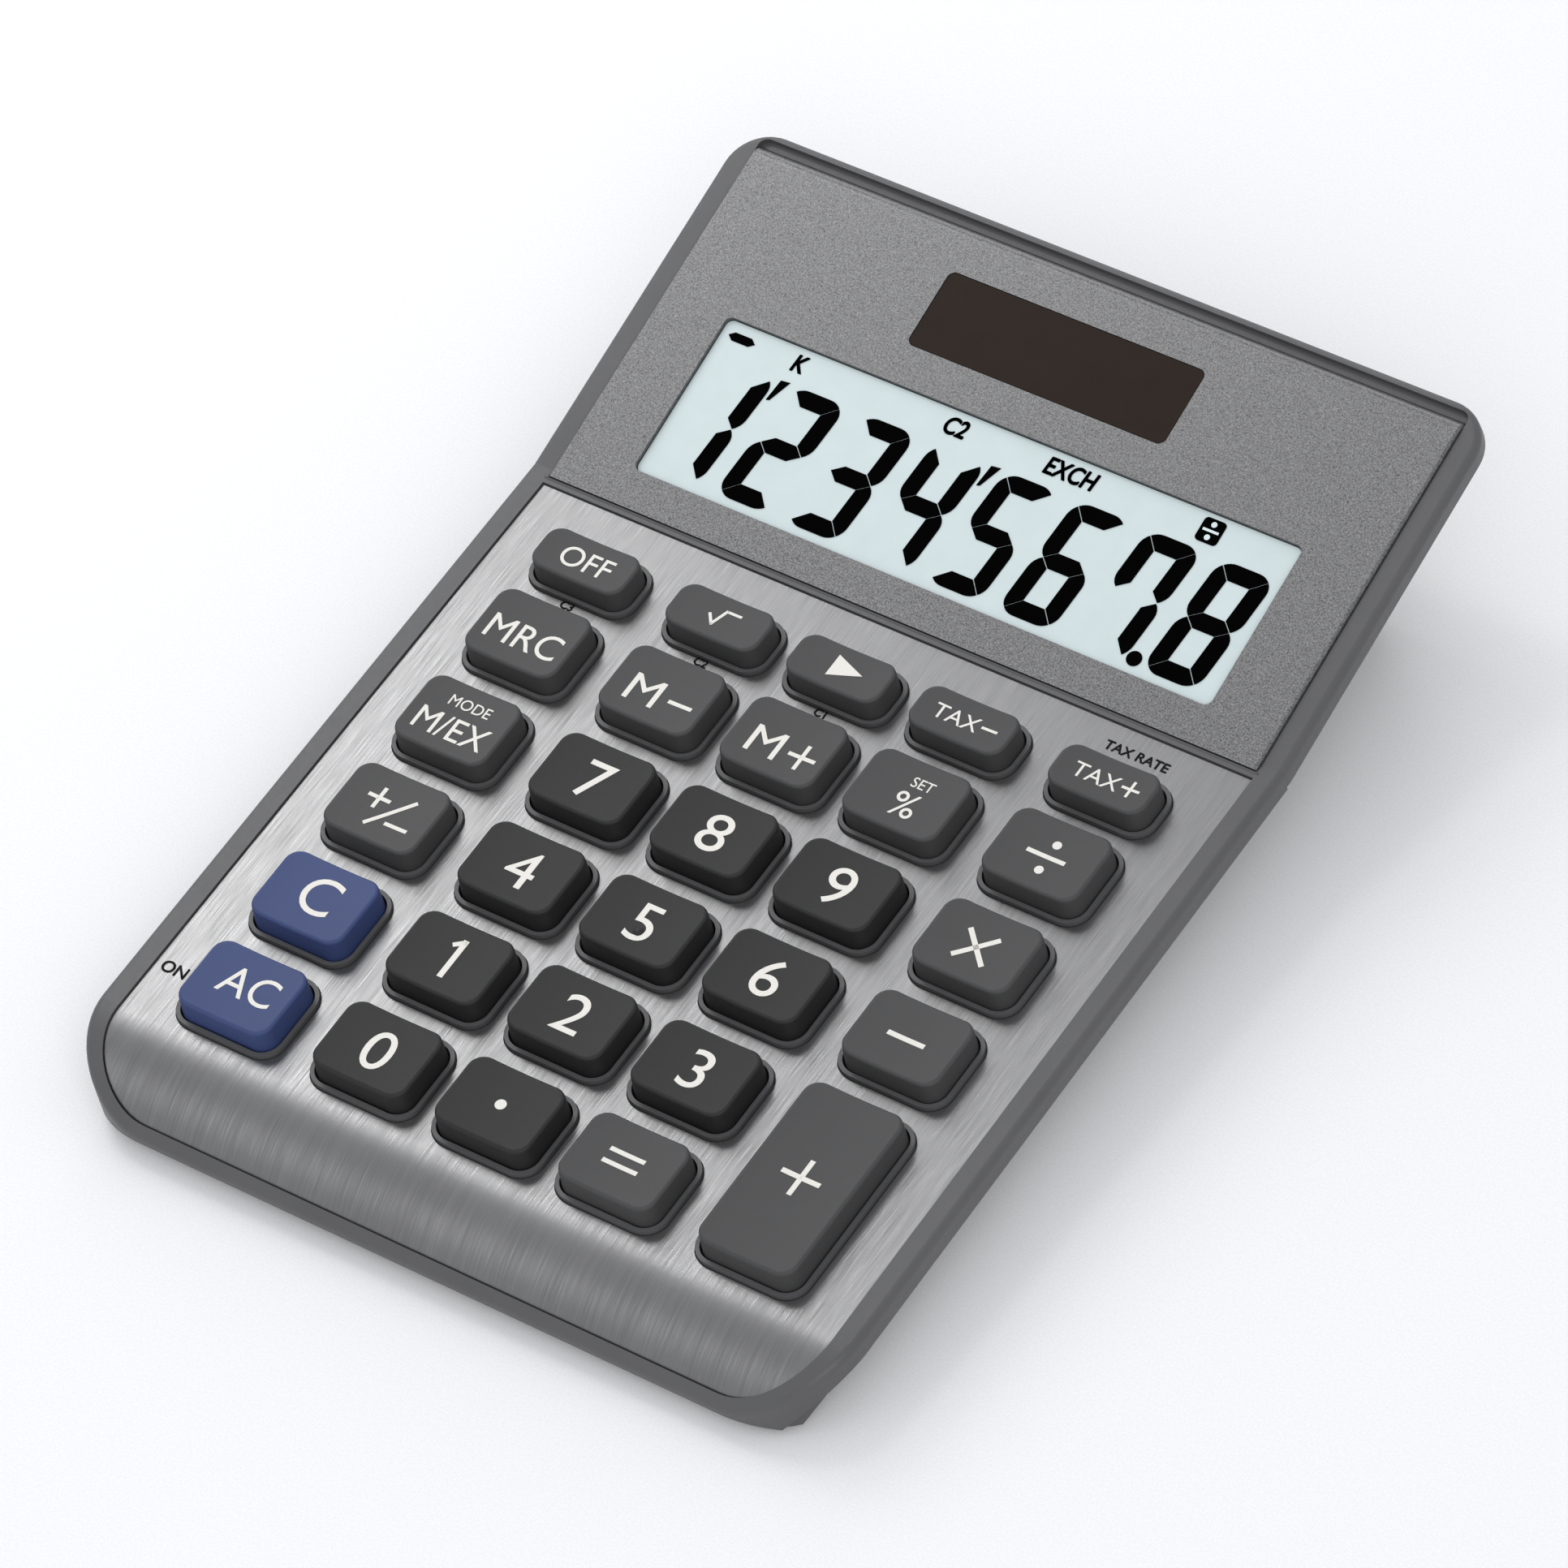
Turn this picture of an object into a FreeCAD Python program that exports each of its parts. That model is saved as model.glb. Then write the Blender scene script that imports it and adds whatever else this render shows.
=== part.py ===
"""Desk calculator: a parametric FreeCAD document, one sub-part per STEP file.

Frames
    desk      +X right, +Y away from the user, +Z up, origin under the middle of the object
    keyboard  origin on the top face of the face plate, at the middle of its rear edge
    display   origin on the top face of the display bezel, at the middle of its front edge
Every length is in millimetres and every angle in degrees.
"""

import FreeCAD, Part
import math
import os

import Sketcher
from FreeCAD import Placement, Rotation, Vector

os.makedirs("parts", exist_ok=True)
doc = FreeCAD.newDocument("desk_calculator")
sheet = doc.addObject("Spreadsheet::Sheet", "Sizes")

SIZES = {
    # overall stance
    "keyboard_tilt": 3.5,
    "display_tilt": 12.2,
    "bend_height": 14.7,
    "foot_height": 0.9,
    # face plate
    "plate_width": 97.0,
    "plate_thickness": 0.5,
    "flat_length": 84.0,
    "lip_radius": 13.0,
    "lip_sweep": 60.0,
    "lip_run": 9.9,
    "plate_corner": 9.5,
    "plate_gap": 0.15,
    "glue_gap": 0.05,
    # upper casing
    "side_rim": 3.0,
    "front_rim": 1.2,
    "rim_proud": 0.3,
    "rim_depth": 2.5,
    "rim_corner": 12.0,
    "top_wall": 1.4,
    "casing_wall": 1.5,
    "edge_round": 0.9,
    "bend_overlap": 2.2,
    "bend_corner": 2.0,
    "bezel_rise": 0.58,
    "bezel_setback": 1.07,
    "display_drop": 0.5,
    "display_depth": 3.0,
    "back_rim": 2.1,
    "back_corner": 5.5,
    "ledge_run": 1.15,
    "ledge_depth": 0.8,
    "ledge_corner": 1.2,
    # display
    "bezel_length": 47.9,
    "bezel_thickness": 1.8,
    "bezel_side_round": 0.35,
    "bezel_back_round": 1.5,
    "seat_corner": 0.2,
    "screen_width": 79.0,
    "screen_length": 21.8,
    "screen_middle": 15.65,
    "screen_corner": 1.0,
    "glass_margin": 2.4,
    "glass_thickness": 2.2,
    "film_thickness": 0.2,
    "screen_sink": 0.6,
    "solar_width": 35.0,
    "solar_length": 10.2,
    "solar_middle": 36.7,
    "solar_corner": 0.9,
    "solar_thickness": 1.1,
    "solar_sink": 0.06,
    "fit_gap": 0.1,
    "holder_wall": 1.2,
    "vent_side": 8.0,
    "vent_end": 5.0,
    "ribbon_width": 56.0,
    "ribbon_thickness": 0.15,
    "ribbon_hold": 3.5,
    # keys
    "outer_column": 35.4,
    "inner_column": 16.7,
    "row_pitch": 14.05,
    "front_row": 77.2,
    "top_row": 9.25,
    "key_width": 13.24,
    "key_length": 10.24,
    "top_key_length": 6.64,
    "key_corner": 2.2,
    "key_rise": 3.6,
    "key_draft": 2.6,
    "key_round": 0.4,
    "dish_depth": 0.3,
    "key_gap": 0.15,
    "key_skin": 1.2,
    "key_travel": 1.0,
    "flange_width": 1.05,
    "flange_height": 0.8,
    "flange_gap": 0.06,
    "collar_ring": 0.5,
    "collar_rise": 0.6,
    "collar_gap": 0.15,
    "stem_radius": 1.5,
    "stem_drop": 0.6,
    # keypad mat and board
    "dome_radius": 3.4,
    "dome_height": 1.4,
    "dome_draft": 40.0,
    "mat_thickness": 0.6,
    "mat_gap": 0.05,
    "mat_margin": 0.3,
    "board_thickness": 1.2,
    "board_half": 44.0,
    "board_gap": 0.05,
    "sheet_corner": 2.0,
    "dome_wall": 1.6,
    "chip_radius": 4.2,
    "chip_height": 1.1,
    "chip_row": 18.0,
    "chip_round": 0.9,
    "capacitor_width": 3.2,
    "capacitor_length": 6.0,
    "capacitor_height": 2.0,
    "capacitor_side": 18.0,
    "capacitor_row": 14.0,
    "post_radius": 1.6,
    "post_side": 41.0,
    "post_front_row": 74.0,
    "post_middle_row": 42.0,
    "post_rear_row": 9.0,
    # lower casing
    "parting_gap": 0.1,
    "lower_inset": 0.8,
    "side_slope": 30.0,
    "heel": 11.0,
    "floor_wall": 1.5,
    "lower_corner": 11.0,
    # fasteners
    "boss_radius": 2.3,
    "screw_radius": 0.95,
    "screw_head": 1.8,
    "screw_head_height": 1.2,
    "screw_seat": 1.0,
    "front_boss": 3.4,
    "rear_boss": 6.4,
    "screw_gap": 0.1,
    "front_screw_side": 34.0,
    "front_screw_row": 87.6,
    "rear_screw_side": 38.0,
    "rear_screw_row": 35.0,
    # power
    "cell_radius": 5.8,
    "cell_height": 5.4,
    "cell_gap": 0.25,
    "cell_side": 6.0,
    "bay_middle": 40.0,
    "cover_width": 32.0,
    "cover_length": 20.0,
    "cover_thickness": 1.1,
    "cover_gap": 0.15,
    "cover_corner": 1.5,
    "bay_wall": 1.2,
    "cover_screw_side": 10.5,
    "contact_thickness": 0.3,
    "contact_disc": 4.5,
    "contact_width": 5.0,
    "cell_edge": 0.6,
    "grip_width": 1.2,
    "grip_length": 9.0,
    "grip_depth": 0.4,
    "grip_pitch": 3.0,
    "cover_screw_length": 5.0,
    "lead_thickness": 0.6,
    "lead_low": 5.6,
    "solar_lead_side": 8.0,
    # feet
    "foot_radius": 4.0,
    "foot_sink": 0.4,
    "front_foot_side": 38.0,
    "front_foot_row": 52.0,
    "rear_foot_side": 30.0,
    "rear_foot_row": 50.0,
}


class Dim:
    """A length or angle from the sheet: its value now, and the expression that keeps it."""

    def __init__(self, value, text):
        self.value = value
        self.text = text

    def __add__(self, other):
        other = dim(other)
        return Dim(self.value + other.value, f"({self.text} + {other.text})")

    def __radd__(self, other):
        return dim(other) + self

    def __sub__(self, other):
        other = dim(other)
        return Dim(self.value - other.value, f"({self.text} - {other.text})")

    def __rsub__(self, other):
        return dim(other) - self

    def __mul__(self, other):
        other = dim(other)
        return Dim(self.value * other.value, f"({self.text} * {other.text})")

    def __rmul__(self, other):
        return dim(other) * self

    def __truediv__(self, other):
        other = dim(other)
        return Dim(self.value / other.value, f"({self.text} / {other.text})")

    def __neg__(self):
        return Dim(-self.value, f"(0 - {self.text})")


def dim(value):
    """Gives a Dim for a bare number, and a Dim unchanged."""
    return value if isinstance(value, Dim) else Dim(float(value), f"({float(value):.6f})")


def sine(angle):
    return Dim(math.sin(math.radians(angle.value)), f"sin({angle.text} * 1 deg)")


def cosine(angle):
    return Dim(math.cos(math.radians(angle.value)), f"cos({angle.text} * 1 deg)")


def tangent(angle):
    return Dim(math.tan(math.radians(angle.value)), f"tan({angle.text} * 1 deg)")


def fill_sheet():
    """Writes each size beside its name and returns the sizes as Dims."""
    found = {}
    for row, (alias, value) in enumerate(SIZES.items(), start=1):
        sheet.set(f"A{row}", alias)
        sheet.set(f"B{row}", str(value))
        sheet.setAlias(f"B{row}", alias)
        found[alias] = Dim(value, f"Sizes.{alias}")
    return found


size = fill_sheet()
doc.recompute()


# ---------------------------------------------------------------- frames

tilt = size["keyboard_tilt"]
steep = size["keyboard_tilt"] + size["display_tilt"]
front_edge = size["flat_length"] + size["lip_run"] + size["front_rim"]
display_back = size["bezel_length"] + size["back_rim"]
lip_end = size["lip_radius"] * (1 - cosine(size["lip_sweep"]))
back_reach = size["bezel_setback"] * cosine(tilt) + display_back * cosine(steep)
front_reach = front_edge * cosine(tilt) - lip_end * sine(tilt)
bend_row = (front_reach - back_reach) / 2


def desk_point(run, rise):
    """Turns keyboard coordinates (run to the rear, rise off the plate) into desk Y and Z."""
    across = bend_row + run * cosine(tilt) - rise * sine(tilt)
    up = size["bend_height"] + run * sine(tilt) + rise * cosine(tilt)
    return across, up


display_origin = desk_point(size["bezel_setback"], size["bezel_rise"])


def display_point(run, rise):
    """Turns display coordinates into desk Y and Z."""
    across = display_origin[0] + run * cosine(steep) - rise * sine(steep)
    up = display_origin[1] + run * sine(steep) + rise * cosine(steep)
    return across, up


FRAMES = {
    "desk": (dim(0), dim(0), dim(0)),
    "keyboard": (bend_row, size["bend_height"], tilt),
    "display": (display_origin[0], display_origin[1], steep),
}


def place(item, frame):
    """Sets an object's Placement to a frame and ties it to the sheet."""
    across, up, angle = FRAMES[frame]
    base = Vector(0, across.value, up.value)
    item.Placement = Placement(base, Rotation(Vector(1, 0, 0), angle.value))
    if frame != "desk":
        item.setExpression("Placement.Base.y", across.text)
        item.setExpression("Placement.Base.z", up.text)
        item.setExpression("Placement.Rotation.Angle", f"{angle.text} * 1 deg")


# ---------------------------------------------------------------- drawing helpers


def new_body(name, frame="desk"):
    body = doc.addObject("PartDesign::Body", name)
    body.AllowCompound = True
    place(body, frame)
    return body


def new_sketch(body, name, role="XY_Plane", offset=None):
    """A sketch on one of the body's own origin planes, offset along its normal."""
    sketch = body.newObject("Sketcher::SketchObject", name)
    plane = next(item for item in body.Origin.OriginFeatures if item.Role == role)
    sketch.AttachmentSupport = [(plane, "")]
    sketch.MapMode = "FlatFace"
    if offset is not None:
        sketch.AttachmentOffset = Placement(Vector(0, 0, offset.value), Rotation())
        sketch.setExpression("AttachmentOffset.Base.z", offset.text)
    return sketch


def pin(sketch, shape, end, point):
    """Ties one end of a line to a point measured from the sketch's origin."""
    for kind, length in zip(("DistanceX", "DistanceY"), point):
        length = dim(length)
        index = sketch.addConstraint(Sketcher.Constraint(kind, -1, 1, shape, end, length.value))
        sketch.setExpression(f"Constraints[{index}]", length.text)


def vector(point):
    return Vector(dim(point[0]).value, dim(point[1]).value, 0)


def line(sketch, start, end):
    shape = sketch.addGeometry(Part.LineSegment(vector(start), vector(end)))
    pin(sketch, shape, 1, start)
    pin(sketch, shape, 2, end)
    return shape


def arc(sketch, centre, radius, begin, finish, first, last):
    """An anticlockwise arc that joins two line ends, given as (line, end) pairs."""
    circle = Part.Circle(vector(centre), Vector(0, 0, 1), radius.value)
    shape = sketch.addGeometry(Part.ArcOfCircle(circle, math.radians(begin), math.radians(finish)))
    sketch.addConstraint(Sketcher.Constraint("Coincident", shape, 1, *first))
    sketch.addConstraint(Sketcher.Constraint("Coincident", shape, 2, *last))
    index = sketch.addConstraint(Sketcher.Constraint("Radius", shape, radius.value))
    sketch.setExpression(f"Constraints[{index}]", radius.text)
    return shape


def polygon(sketch, points):
    """A closed outline of straight lines."""
    count = len(points)
    for index in range(count):
        start = points[index]
        end = points[(index + 1) % count]
        shape = sketch.addGeometry(Part.LineSegment(vector(start), vector(end)))
        pin(sketch, shape, 1, start)
        if index:
            sketch.addConstraint(Sketcher.Constraint("Coincident", shape - 1, 2, shape, 1))
    sketch.addConstraint(Sketcher.Constraint("Coincident", shape, 2, shape - count + 1, 1))


def rounded(sketch, left, right, front, rear, radii):
    """A rectangle; radii are the corners front right, rear right, rear left, front left."""
    left, right, front, rear = (dim(value) for value in (left, right, front, rear))
    corners = [(right, front), (right, rear), (left, rear), (left, front)]
    inward = [(-1, 1), (-1, -1), (1, -1), (1, 1)]
    starts = []
    ends = []
    for index, (corner, side) in enumerate(zip(corners, inward)):
        radius = radii[index]
        across = (corner[0] + radius * side[0], corner[1])
        along = (corner[0], corner[1] + radius * side[1])
        ends.append(across if index % 2 == 0 else along)
        starts.append(along if index % 2 == 0 else across)
    sides = [line(sketch, starts[index - 1], ends[index]) for index in range(4)]
    for index, (corner, side) in enumerate(zip(corners, inward)):
        radius = radii[index]
        centre = (corner[0] + radius * side[0], corner[1] + radius * side[1])
        begin = 90 * index - 90
        arc(sketch, centre, radius, begin, begin + 90, (sides[index], 2), (sides[(index + 1) % 4], 1))


def rounded_at(sketch, middle, width, length, radius):
    """A rectangle about a middle point, with four equal corners."""
    across = dim(middle[0])
    along = dim(middle[1])
    half = width / 2
    reach = length / 2
    rounded(sketch, across - half, across + half, along - reach, along + reach, [radius] * 4)


def circle(sketch, middle, radius):
    shape = sketch.addGeometry(Part.Circle(vector(middle), Vector(0, 0, 1), radius.value))
    pin(sketch, shape, 3, middle)
    index = sketch.addConstraint(Sketcher.Constraint("Radius", shape, radius.value))
    sketch.setExpression(f"Constraints[{index}]", radius.text)


def pad(body, name, sketch, length, draft=None, both=False):
    """Raises a sketch along its normal; both pads it half to each side."""
    feature = body.newObject("PartDesign::Pad", name)
    feature.Profile = sketch
    feature.Length = length.value
    feature.setExpression("Length", length.text)
    if both:
        feature.SideType = "Symmetric"
    if draft is not None:
        feature.TaperAngle = -draft.value
        feature.setExpression("TaperAngle", f"(0 - {draft.text}) * 1 deg")
    return feature


def pocket(body, name, sketch, depth, upward=False, both=False):
    """Cuts a sketch down its normal, or up it, or half to each side."""
    feature = body.newObject("PartDesign::Pocket", name)
    feature.Profile = sketch
    feature.Length = depth.value
    feature.setExpression("Length", depth.text)
    feature.Reversed = upward
    if both:
        feature.SideType = "Symmetric"
    return feature


def repeat(body, name, feature, count):
    """Repeats a feature towards the rear at the row pitch."""
    pattern = body.newObject("PartDesign::LinearPattern", name)
    pattern.Originals = [feature]
    axis = next(item for item in body.Origin.OriginFeatures if item.Role == "Y_Axis")
    pattern.Direction = (axis, [""])
    pattern.Mode = "Spacing"
    pattern.Offset = size["row_pitch"].value
    pattern.setExpression("Offset", size["row_pitch"].text)
    pattern.Occurrences = count
    body.Tip = pattern
    return pattern


def join(name, first, *others):
    """A fusion of several objects."""
    result = doc.addObject("Part::MultiFuse", name)
    result.Shapes = [first, *others]
    result.Refine = True
    return result


def cut(name, base, tool):
    result = doc.addObject("Part::Cut", name)
    result.Base = base
    result.Tool = tool
    result.Refine = True
    return result


def overlap(name, *items):
    result = doc.addObject("Part::MultiCommon", name)
    result.Shapes = list(items)
    result.Refine = True
    return result


def edges_where(feature, test):
    """Names of the edges whose every vertex passes a test, for a fillet."""
    doc.recompute()
    names = []
    for index, edge in enumerate(feature.Shape.Edges, start=1):
        if all(test(vertex.Point) for vertex in edge.Vertexes):
            names.append(f"Edge{index}")
    return names


def fillet(body, name, feature, names, radius):
    rounding = body.newObject("PartDesign::Fillet", name)
    rounding.Base = (feature, names)
    rounding.Radius = radius.value
    rounding.setExpression("Radius", radius.text)
    return rounding


def desk_block(body, name, low, high, middle, width, length, radius):
    outline = new_sketch(body, f"{name}_outline", offset=low)
    rounded_at(outline, middle, width, length, radius)
    return pad(body, name, outline, high - low)


def desk_rod(body, name, low, high, middle, radius):
    outline = new_sketch(body, f"{name}_outline", offset=low)
    circle(outline, middle, radius)
    return pad(body, name, outline, high - low)


# ---------------------------------------------------------------- key layout

KEY_ROWS = [
    ["key_ac", "key_0", "key_point", "key_equals", "key_plus"],
    ["key_c", "key_1", "key_2", "key_3", None],
    ["key_sign", "key_4", "key_5", "key_6", "key_minus"],
    ["key_mode", "key_7", "key_8", "key_9", "key_times"],
    ["key_recall", "key_memory_minus", "key_memory_plus", "key_percent", "key_divide"],
]
TOP_KEYS = ["key_off", "key_root", "key_back", "key_tax_minus", "key_tax_plus"]
COLUMNS = [
    -size["outer_column"],
    -size["inner_column"],
    dim(0),
    size["inner_column"],
    size["outer_column"],
]
FRONT_ROW = -size["front_row"]
TOP_ROW = -size["top_row"]
PLUS_ROW = FRONT_ROW + size["row_pitch"] / 2
UPPER_ROW = FRONT_ROW + size["row_pitch"] * 2


def spread(body, name, offset, height, width, length, top_length, radius, cutting=False, draft=None):
    """Repeats one rounded outline at every key place, as pads or as pockets.

    The front four columns repeat over five rows and the last column over three; the
    double plus key and the five short keys of the top row are drawn one by one.
    """

    def build(label, sketch):
        if cutting:
            return pocket(body, label, sketch, height)
        return pad(body, label, sketch, height, draft)

    def outline(sketch, middle, reach):
        if radius is None:
            circle(sketch, middle, width)
        else:
            rounded_at(sketch, middle, width, reach, radius)

    singles = new_sketch(body, f"{name}_single_outline", offset=offset)
    outline(singles, (COLUMNS[4], PLUS_ROW), length + size["row_pitch"])
    for column in COLUMNS:
        outline(singles, (column, TOP_ROW), top_length)
    build(f"{name}_single", singles)
    grid = new_sketch(body, f"{name}_grid_outline", offset=offset)
    for column in COLUMNS[:4]:
        outline(grid, (column, FRONT_ROW), length)
    first = build(f"{name}_grid", grid)
    repeat(body, f"{name}_grid_rows", first, 5)
    side = new_sketch(body, f"{name}_side_outline", offset=offset)
    outline(side, (COLUMNS[4], UPPER_ROW), length)
    second = build(f"{name}_side", side)
    return repeat(body, f"{name}_side_rows", second, 3)


# heights off the plate's top face, in the keyboard frame
wall_top = -(size["plate_thickness"] + size["glue_gap"])
wall_base = wall_top - size["top_wall"]
flange_top = wall_base - size["flange_gap"]
flange_base = flange_top - size["flange_height"]
stem_base = flange_base - size["stem_drop"]
dome_top = stem_base - size["mat_gap"]
mat_top = dome_top - size["dome_height"]
mat_base = mat_top - size["mat_thickness"]
board_top = mat_base - size["board_gap"]
board_base = board_top - size["board_thickness"]
well_width = size["key_width"] + size["key_gap"] * 2
well_length = size["key_length"] + size["key_gap"] * 2
top_well_length = size["top_key_length"] + size["key_gap"] * 2
well_corner = size["key_corner"] + size["key_gap"]
ring_width = well_width + size["collar_ring"] * 2
ring_length = well_length + size["collar_ring"] * 2
top_ring_length = top_well_length + size["collar_ring"] * 2
ring_corner = well_corner + size["collar_ring"]


def curved_slab(name, top, base, half_width, rear, run, corner):
    """A sheet that follows the keyboard plane and rolls down at the front lip.

    top and base are heights off the plate, run is how far the front edge lies beyond
    the flat, and the two front corners are rounded in plan.
    """
    body = new_body(name, "keyboard")
    profile = new_sketch(body, f"{name}_profile", "YZ_Plane")
    start = -size["flat_length"]
    centre = (start, -size["lip_radius"])
    outer = size["lip_radius"] + top
    inner = size["lip_radius"] + base
    sweep = size["lip_sweep"]

    def rim(radius):
        return start - radius * sine(sweep), radius * cosine(sweep) - size["lip_radius"]

    upper = line(profile, (rear, top), (start, top))
    end = line(profile, rim(outer), rim(inner))
    lower = line(profile, (start, base), (rear, base))
    line(profile, (rear, base), (rear, top))
    finish = 90 + sweep.value
    arc(profile, centre, outer, 90, finish, (upper, 2), (end, 1))
    arc(profile, centre, inner, 90, finish, (lower, 1), (end, 2))
    pad(body, f"{name}_sheet", profile, half_width * 2, both=True)
    trim = new_sketch(body, f"{name}_trim_outline")
    beyond = start - run
    sharp = dim(1)
    rounded(trim, -half_width, half_width, beyond, rear + 5, [corner, sharp, sharp, corner])
    margin = dim(30)
    outside = [
        (-half_width - margin, beyond - margin),
        (half_width + margin, beyond - margin),
        (half_width + margin, rear + margin),
        (-half_width - margin, rear + margin),
    ]
    polygon(trim, outside)
    pocket(body, f"{name}_trim", trim, dim(120), both=True)
    return body


# ---------------------------------------------------------------- upper casing

half_plate = size["plate_width"] / 2
half_casing = half_plate + size["side_rim"]
plate_recess = half_plate + size["plate_gap"]
hollow_half = half_casing - size["casing_wall"]


def display_block(name, low, high, left, right, front, rear, radii):
    """A flat block in the display frame."""
    body = new_body(name, "display")
    outline = new_sketch(body, f"{name}_outline", offset=low)
    rounded(outline, left, right, front, rear, radii)
    pad(body, f"{name}_pad", outline, high - low)
    return body


def round_rim(slab):
    """Rounds the outer top edge of the keyboard slab, apart from its buried rear end."""
    radius = size["lip_radius"].value + size["rim_proud"].value
    start = -size["flat_length"].value
    rear = size["bend_overlap"].value

    def on_top(point):
        if point.y > start - 0.001:
            return abs(point.z - size["rim_proud"].value) < 0.001
        return abs(math.hypot(point.y - start, point.z + size["lip_radius"].value) - radius) < 0.001

    feature = slab.Tip
    names = edges_where(feature, on_top)
    seam = edges_where(feature, lambda point: on_top(point) and abs(point.y - start) < 0.001)
    end = edges_where(feature, lambda point: on_top(point) and point.y > rear - 0.001)
    names = [name for name in names if name not in seam + end]
    fillet(slab, "upper_keyboard_round", feature, names, size["edge_round"])


def make_upper_casing():
    """The dark frame: rims, key collars, the rib before the display and the display seat."""
    rear = size["bend_overlap"]
    keyboard = curved_slab(
        "upper_keyboard_slab",
        size["rim_proud"],
        -size["rim_depth"],
        half_casing,
        rear,
        size["lip_run"] + size["front_rim"],
        size["rim_corner"],
    )
    round_rim(keyboard)
    small = size["bend_corner"]
    back = size["back_corner"]
    display = display_block(
        "upper_display_slab",
        -size["display_depth"],
        -size["display_drop"],
        -half_casing,
        half_casing,
        dim(-0.7),
        display_back,
        [small, back, back, small],
    )
    top = -size["display_drop"].value - 0.01
    names = edges_where(display.Tip, lambda point: point.z > top)
    fillet(display, "upper_display_round", display.Tip, names, size["edge_round"])
    blank = join("upper_blank", keyboard, display)
    recess = curved_slab(
        "plate_recess",
        dim(4),
        wall_top,
        plate_recess,
        size["plate_gap"],
        size["lip_run"] + size["plate_gap"],
        size["plate_corner"] + size["plate_gap"],
    )
    hollow = curved_slab(
        "keyboard_hollow",
        wall_base,
        dim(-9),
        hollow_half,
        rear + 1,
        size["lip_run"] + size["front_rim"] - size["casing_wall"],
        size["rim_corner"] - size["casing_wall"],
    )
    seat = display_block(
        "bezel_recess",
        -(size["bezel_thickness"] + size["glue_gap"]),
        dim(3),
        -(half_plate + size["fit_gap"]),
        half_plate + size["fit_gap"],
        -size["fit_gap"],
        size["bezel_length"] + size["fit_gap"],
        [size["seat_corner"]] * 4,
    )
    ledge_end = size["ledge_corner"]
    ledge = display_block(
        "bezel_ledge",
        -(size["display_drop"] + size["ledge_depth"]),
        dim(3),
        -(half_plate + size["fit_gap"]),
        half_plate + size["fit_gap"],
        size["bezel_length"] - 4,
        size["bezel_length"] + size["ledge_run"],
        [size["seat_corner"], ledge_end, ledge_end, size["seat_corner"]],
    )
    glass_half = size["screen_width"] / 2 + size["glass_margin"] + size["fit_gap"]
    glass_reach = size["screen_length"] / 2 + size["glass_margin"] + size["fit_gap"]
    opening = display_block(
        "glass_opening",
        dim(-9),
        dim(3),
        -glass_half,
        glass_half,
        size["screen_middle"] - glass_reach,
        size["screen_middle"] + glass_reach,
        [dim(0.5)] * 4,
    )
    lead_half = size["solar_width"] / 2 - 3
    lead_reach = size["solar_length"] / 2 - 1.5
    leads = display_block(
        "lead_opening",
        dim(-9),
        dim(3),
        -lead_half,
        lead_half,
        size["solar_middle"] - lead_reach,
        size["solar_middle"] + lead_reach,
        [dim(0.5)] * 4,
    )
    tools = join("upper_tools", recess, hollow, seat, ledge, opening, leads)
    shell = cut("upper_shell", blank, tools)

    collars = new_body("key_collars", "keyboard")
    spread(
        collars,
        "collar",
        wall_top - size["top_wall"] / 2,
        size["collar_rise"] - wall_top + size["top_wall"] / 2,
        ring_width,
        ring_length,
        top_ring_length,
        ring_corner,
    )
    rib = new_body("display_rib", "keyboard")
    section = new_sketch(rib, "rib_section", "YZ_Plane")
    rib_foot = size["plate_gap"]
    rib_head = size["bezel_setback"] - size["fit_gap"] * 1.5
    outline = [
        (rib_foot, wall_top - 0.4),
        (rib_head + 0.3, wall_top - 0.4),
        (rib_head, size["bezel_rise"] - 0.1),
        (rib_foot, dim(0) - 0.05),
    ]
    polygon(section, outline)
    pad(rib, "rib_bar", section, plate_recess * 2 + 0.4, both=True)

    bosses = new_body("upper_bosses")
    for index, (side, row, low, high) in enumerate(SCREWS):
        desk_rod(bosses, f"boss_{index}", low, high, (side, row), size["boss_radius"])
    fused = join("upper_fused", shell, collars, rib, bosses)

    wells = new_body("key_wells", "keyboard")
    spread(
        wells,
        "well",
        wall_base - 1,
        size["collar_rise"] - wall_base + 2,
        well_width,
        well_length,
        top_well_length,
        well_corner,
    )
    return cut("upper_casing", fused, join("upper_cuts", wells, screw_holes("upper_pilot")))


# ---------------------------------------------------------------- screws


def row_height(row, rise):
    """Desk height of a point over desk row `row`, `rise` off the keyboard plane."""
    return size["bend_height"] + (row - bend_row) * tangent(tilt) + rise / cosine(tilt)


def display_height(row, rise):
    """Desk height of a point over desk row `row`, `rise` off the display plane."""
    return display_origin[1] + (row - display_origin[0]) * tangent(steep) + rise / cosine(steep)


front_screw_line = bend_row - size["front_screw_row"] * cosine(tilt)
rear_screw_line = display_origin[0] + size["rear_screw_row"] * cosine(steep)
front_boss_high = row_height(front_screw_line, wall_base - 0.3)
front_boss_low = front_boss_high - size["front_boss"]
rear_boss_high = display_height(rear_screw_line, -size["display_depth"] + 0.4)
rear_boss_low = rear_boss_high - size["rear_boss"]
# side, row, lower end and upper end of each boss, in desk coordinates
SCREWS = [
    (-size["front_screw_side"], front_screw_line, front_boss_low, front_boss_high),
    (size["front_screw_side"], front_screw_line, front_boss_low, front_boss_high),
    (-size["rear_screw_side"], rear_screw_line, rear_boss_low, rear_boss_high),
    (size["rear_screw_side"], rear_screw_line, rear_boss_low, rear_boss_high),
]
screw_seat = size["screw_seat"]


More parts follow.
